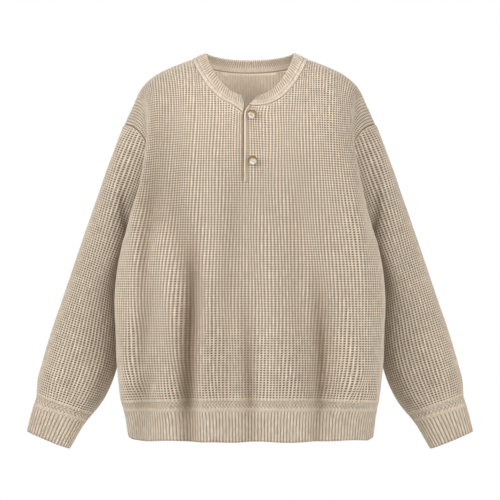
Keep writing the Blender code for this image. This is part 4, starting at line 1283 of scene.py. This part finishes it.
def makeButton(name, node, x, z, towards):
    spot, out = placketGrid(np.array([x - cut["slitX"]]), np.array([z]))
    out = Vector(out[0, 0])
    centre = Vector(spot[0, 0]) + out * button["standOff"]
    radius, thick, (shank, stem) = button["radius"], button["thick"], button["shank"]
    bpy.ops.object.select_all(action="DESELECT")
    bpy.ops.mesh.primitive_cylinder_add(vertices=32, radius=shank * radius, depth=stem * thick,
                                        location=(0, 0, -stem / 2 * thick))
    piece = bpy.context.active_object
    piece.name = name
    bpy.ops.object.transform_apply(location=True, rotation=False, scale=False)
    for part in (piece.data.vertices, piece.data.edges, piece.data.polygons):
        part.foreach_set("select", [False] * len(part))
    max(piece.data.polygons, key=lambda face: face.center.z).select = True
    bpy.ops.object.mode_set(mode="EDIT")
    bpy.ops.mesh.select_mode(type="FACE")
    radii, heights = button["radii"], button["heights"]
    for k in range(1, len(radii)):
        up = (heights[k] - heights[k - 1]) * thick
        bpy.ops.mesh.extrude_region_move(TRANSFORM_OT_translate={"value": (0, 0, up)})
        grow = radii[k] / radii[k - 1]
        bpy.ops.transform.resize(value=(grow, grow, 1))
    bpy.ops.object.mode_set(mode="OBJECT")
    smooth = piece.modifiers.new("smooth", "SUBSURF")
    smooth.levels = smooth.render_levels = 2
    bpy.ops.object.modifier_apply(modifier=smooth.name)
    turn = out.to_track_quat("Z", "Y").to_matrix().to_4x4()
    piece.data.transform(Matrix.Translation(centre) @ turn)
    bpy.ops.object.shade_smooth()
    piece.data.materials.clear()
    piece.data.materials.append(makePearlGlint(name + "_pearl", centre, towards))
    place(piece, node)


makeButton("upper_button", "button_top", 0.0038, -0.1170, Vector((0.55, 0, 0.83)))
makeButton("lower_button", "button_bottom", 0.0047, -0.1991, Vector((-0.35, 0, 0.93)))
print("buttons made")

# Studio
studio = {
    "camera": (0.0, -5.03, -0.357),
    "lens": 200.0,
    "lights": {  # place, aimed at, size, power, and a spot's angle
        "key_light": ((-3.4, -2.5, 1.6), (0, 0, -0.35), 1.6, 116.0),
        "fill_light": ((3.3, -2.7, 0.8), (0, 0, -0.40), 2.0, 78.0),
        "front_light": ((0.5, -4.3, -0.5), (0, 0, -0.20), 0.9, 16.0),
        "neck_light": ((0.0, -4.2, -0.30), (0, 0, -0.020), 0.10, 250.0, 4.8),
        "top_light": ((0.0, -0.4, 2.4), (0, 0, -0.40), 2.0, 12.0),
        "back_light": ((0.8, 4.4, 0.4), (0, 0, -0.40), 1.6, 60.0),
    },
    "world": 0.43,
    "floorZ": -1.30,
    "floor": {"Base Color": (0.86, 0.86, 0.85, 1), "Roughness": 0.8},
}


def makeLight(name, spot, towards, size, power, angle=None):
    data = bpy.data.lights.new(name, "SPOT" if angle else "AREA")
    data.energy = power
    if angle:
        data.shadow_soft_size, data.spot_size, data.spot_blend = size, math.radians(angle), 1.0
    else:
        data.size = size
    light = bpy.data.objects.new(name, data)
    light.location = spot
    light.rotation_euler = (Vector(towards) - Vector(spot)).to_track_quat("-Z", "Y").to_euler()
    bpy.context.scene.collection.objects.link(light)


for name, values in studio["lights"].items():
    makeLight(name, *values)

# the camera sees a white backdrop, while the pieces get a softer light from it
world = bpy.data.worlds.new("studio_world")
world.use_nodes = True
bpy.context.scene.world = world
worldTree = world.node_tree
backdrop = worldTree.nodes["Background"]
backdrop.inputs[0].default_value = (1, 1, 1, 1)
backdrop.inputs[1].default_value = studio["world"]
seen = newNode(worldTree, "ShaderNodeBackground", {0: (1, 1, 1, 1), 1: 1.0})
isCamera = newNode(worldTree, "ShaderNodeLightPath").outputs["Is Camera Ray"]
mixed = newNode(worldTree, "ShaderNodeMixShader", {0: isCamera, 1: backdrop.outputs[0], 2: seen.outputs[0]})
worldTree.links.new(mixed.outputs[0], worldTree.nodes["World Output"].inputs[0])

bpy.ops.object.select_all(action="DESELECT")
bpy.ops.mesh.primitive_circle_add(vertices=96, radius=2.4, fill_type="NGON", location=(0, 0, 0))
floor = bpy.context.active_object
floor.name = "studio_floor"
floor.data.transform(Matrix.Translation((0, 0, studio["floorZ"])))
floor.data.materials.append(startMaterial("floor_paint", studio["floor"])[0])

cameraData = bpy.data.cameras.new("camera")
cameraData.lens = studio["lens"]
cameraData.sensor_width = 36.0
camera = bpy.data.objects.new("camera", cameraData)
camera.location = studio["camera"]
camera.rotation_euler = (math.pi / 2, 0, 0)
bpy.context.scene.collection.objects.link(camera)
bpy.context.scene.camera = camera
bpy.context.scene.view_settings.view_transform = "Standard"
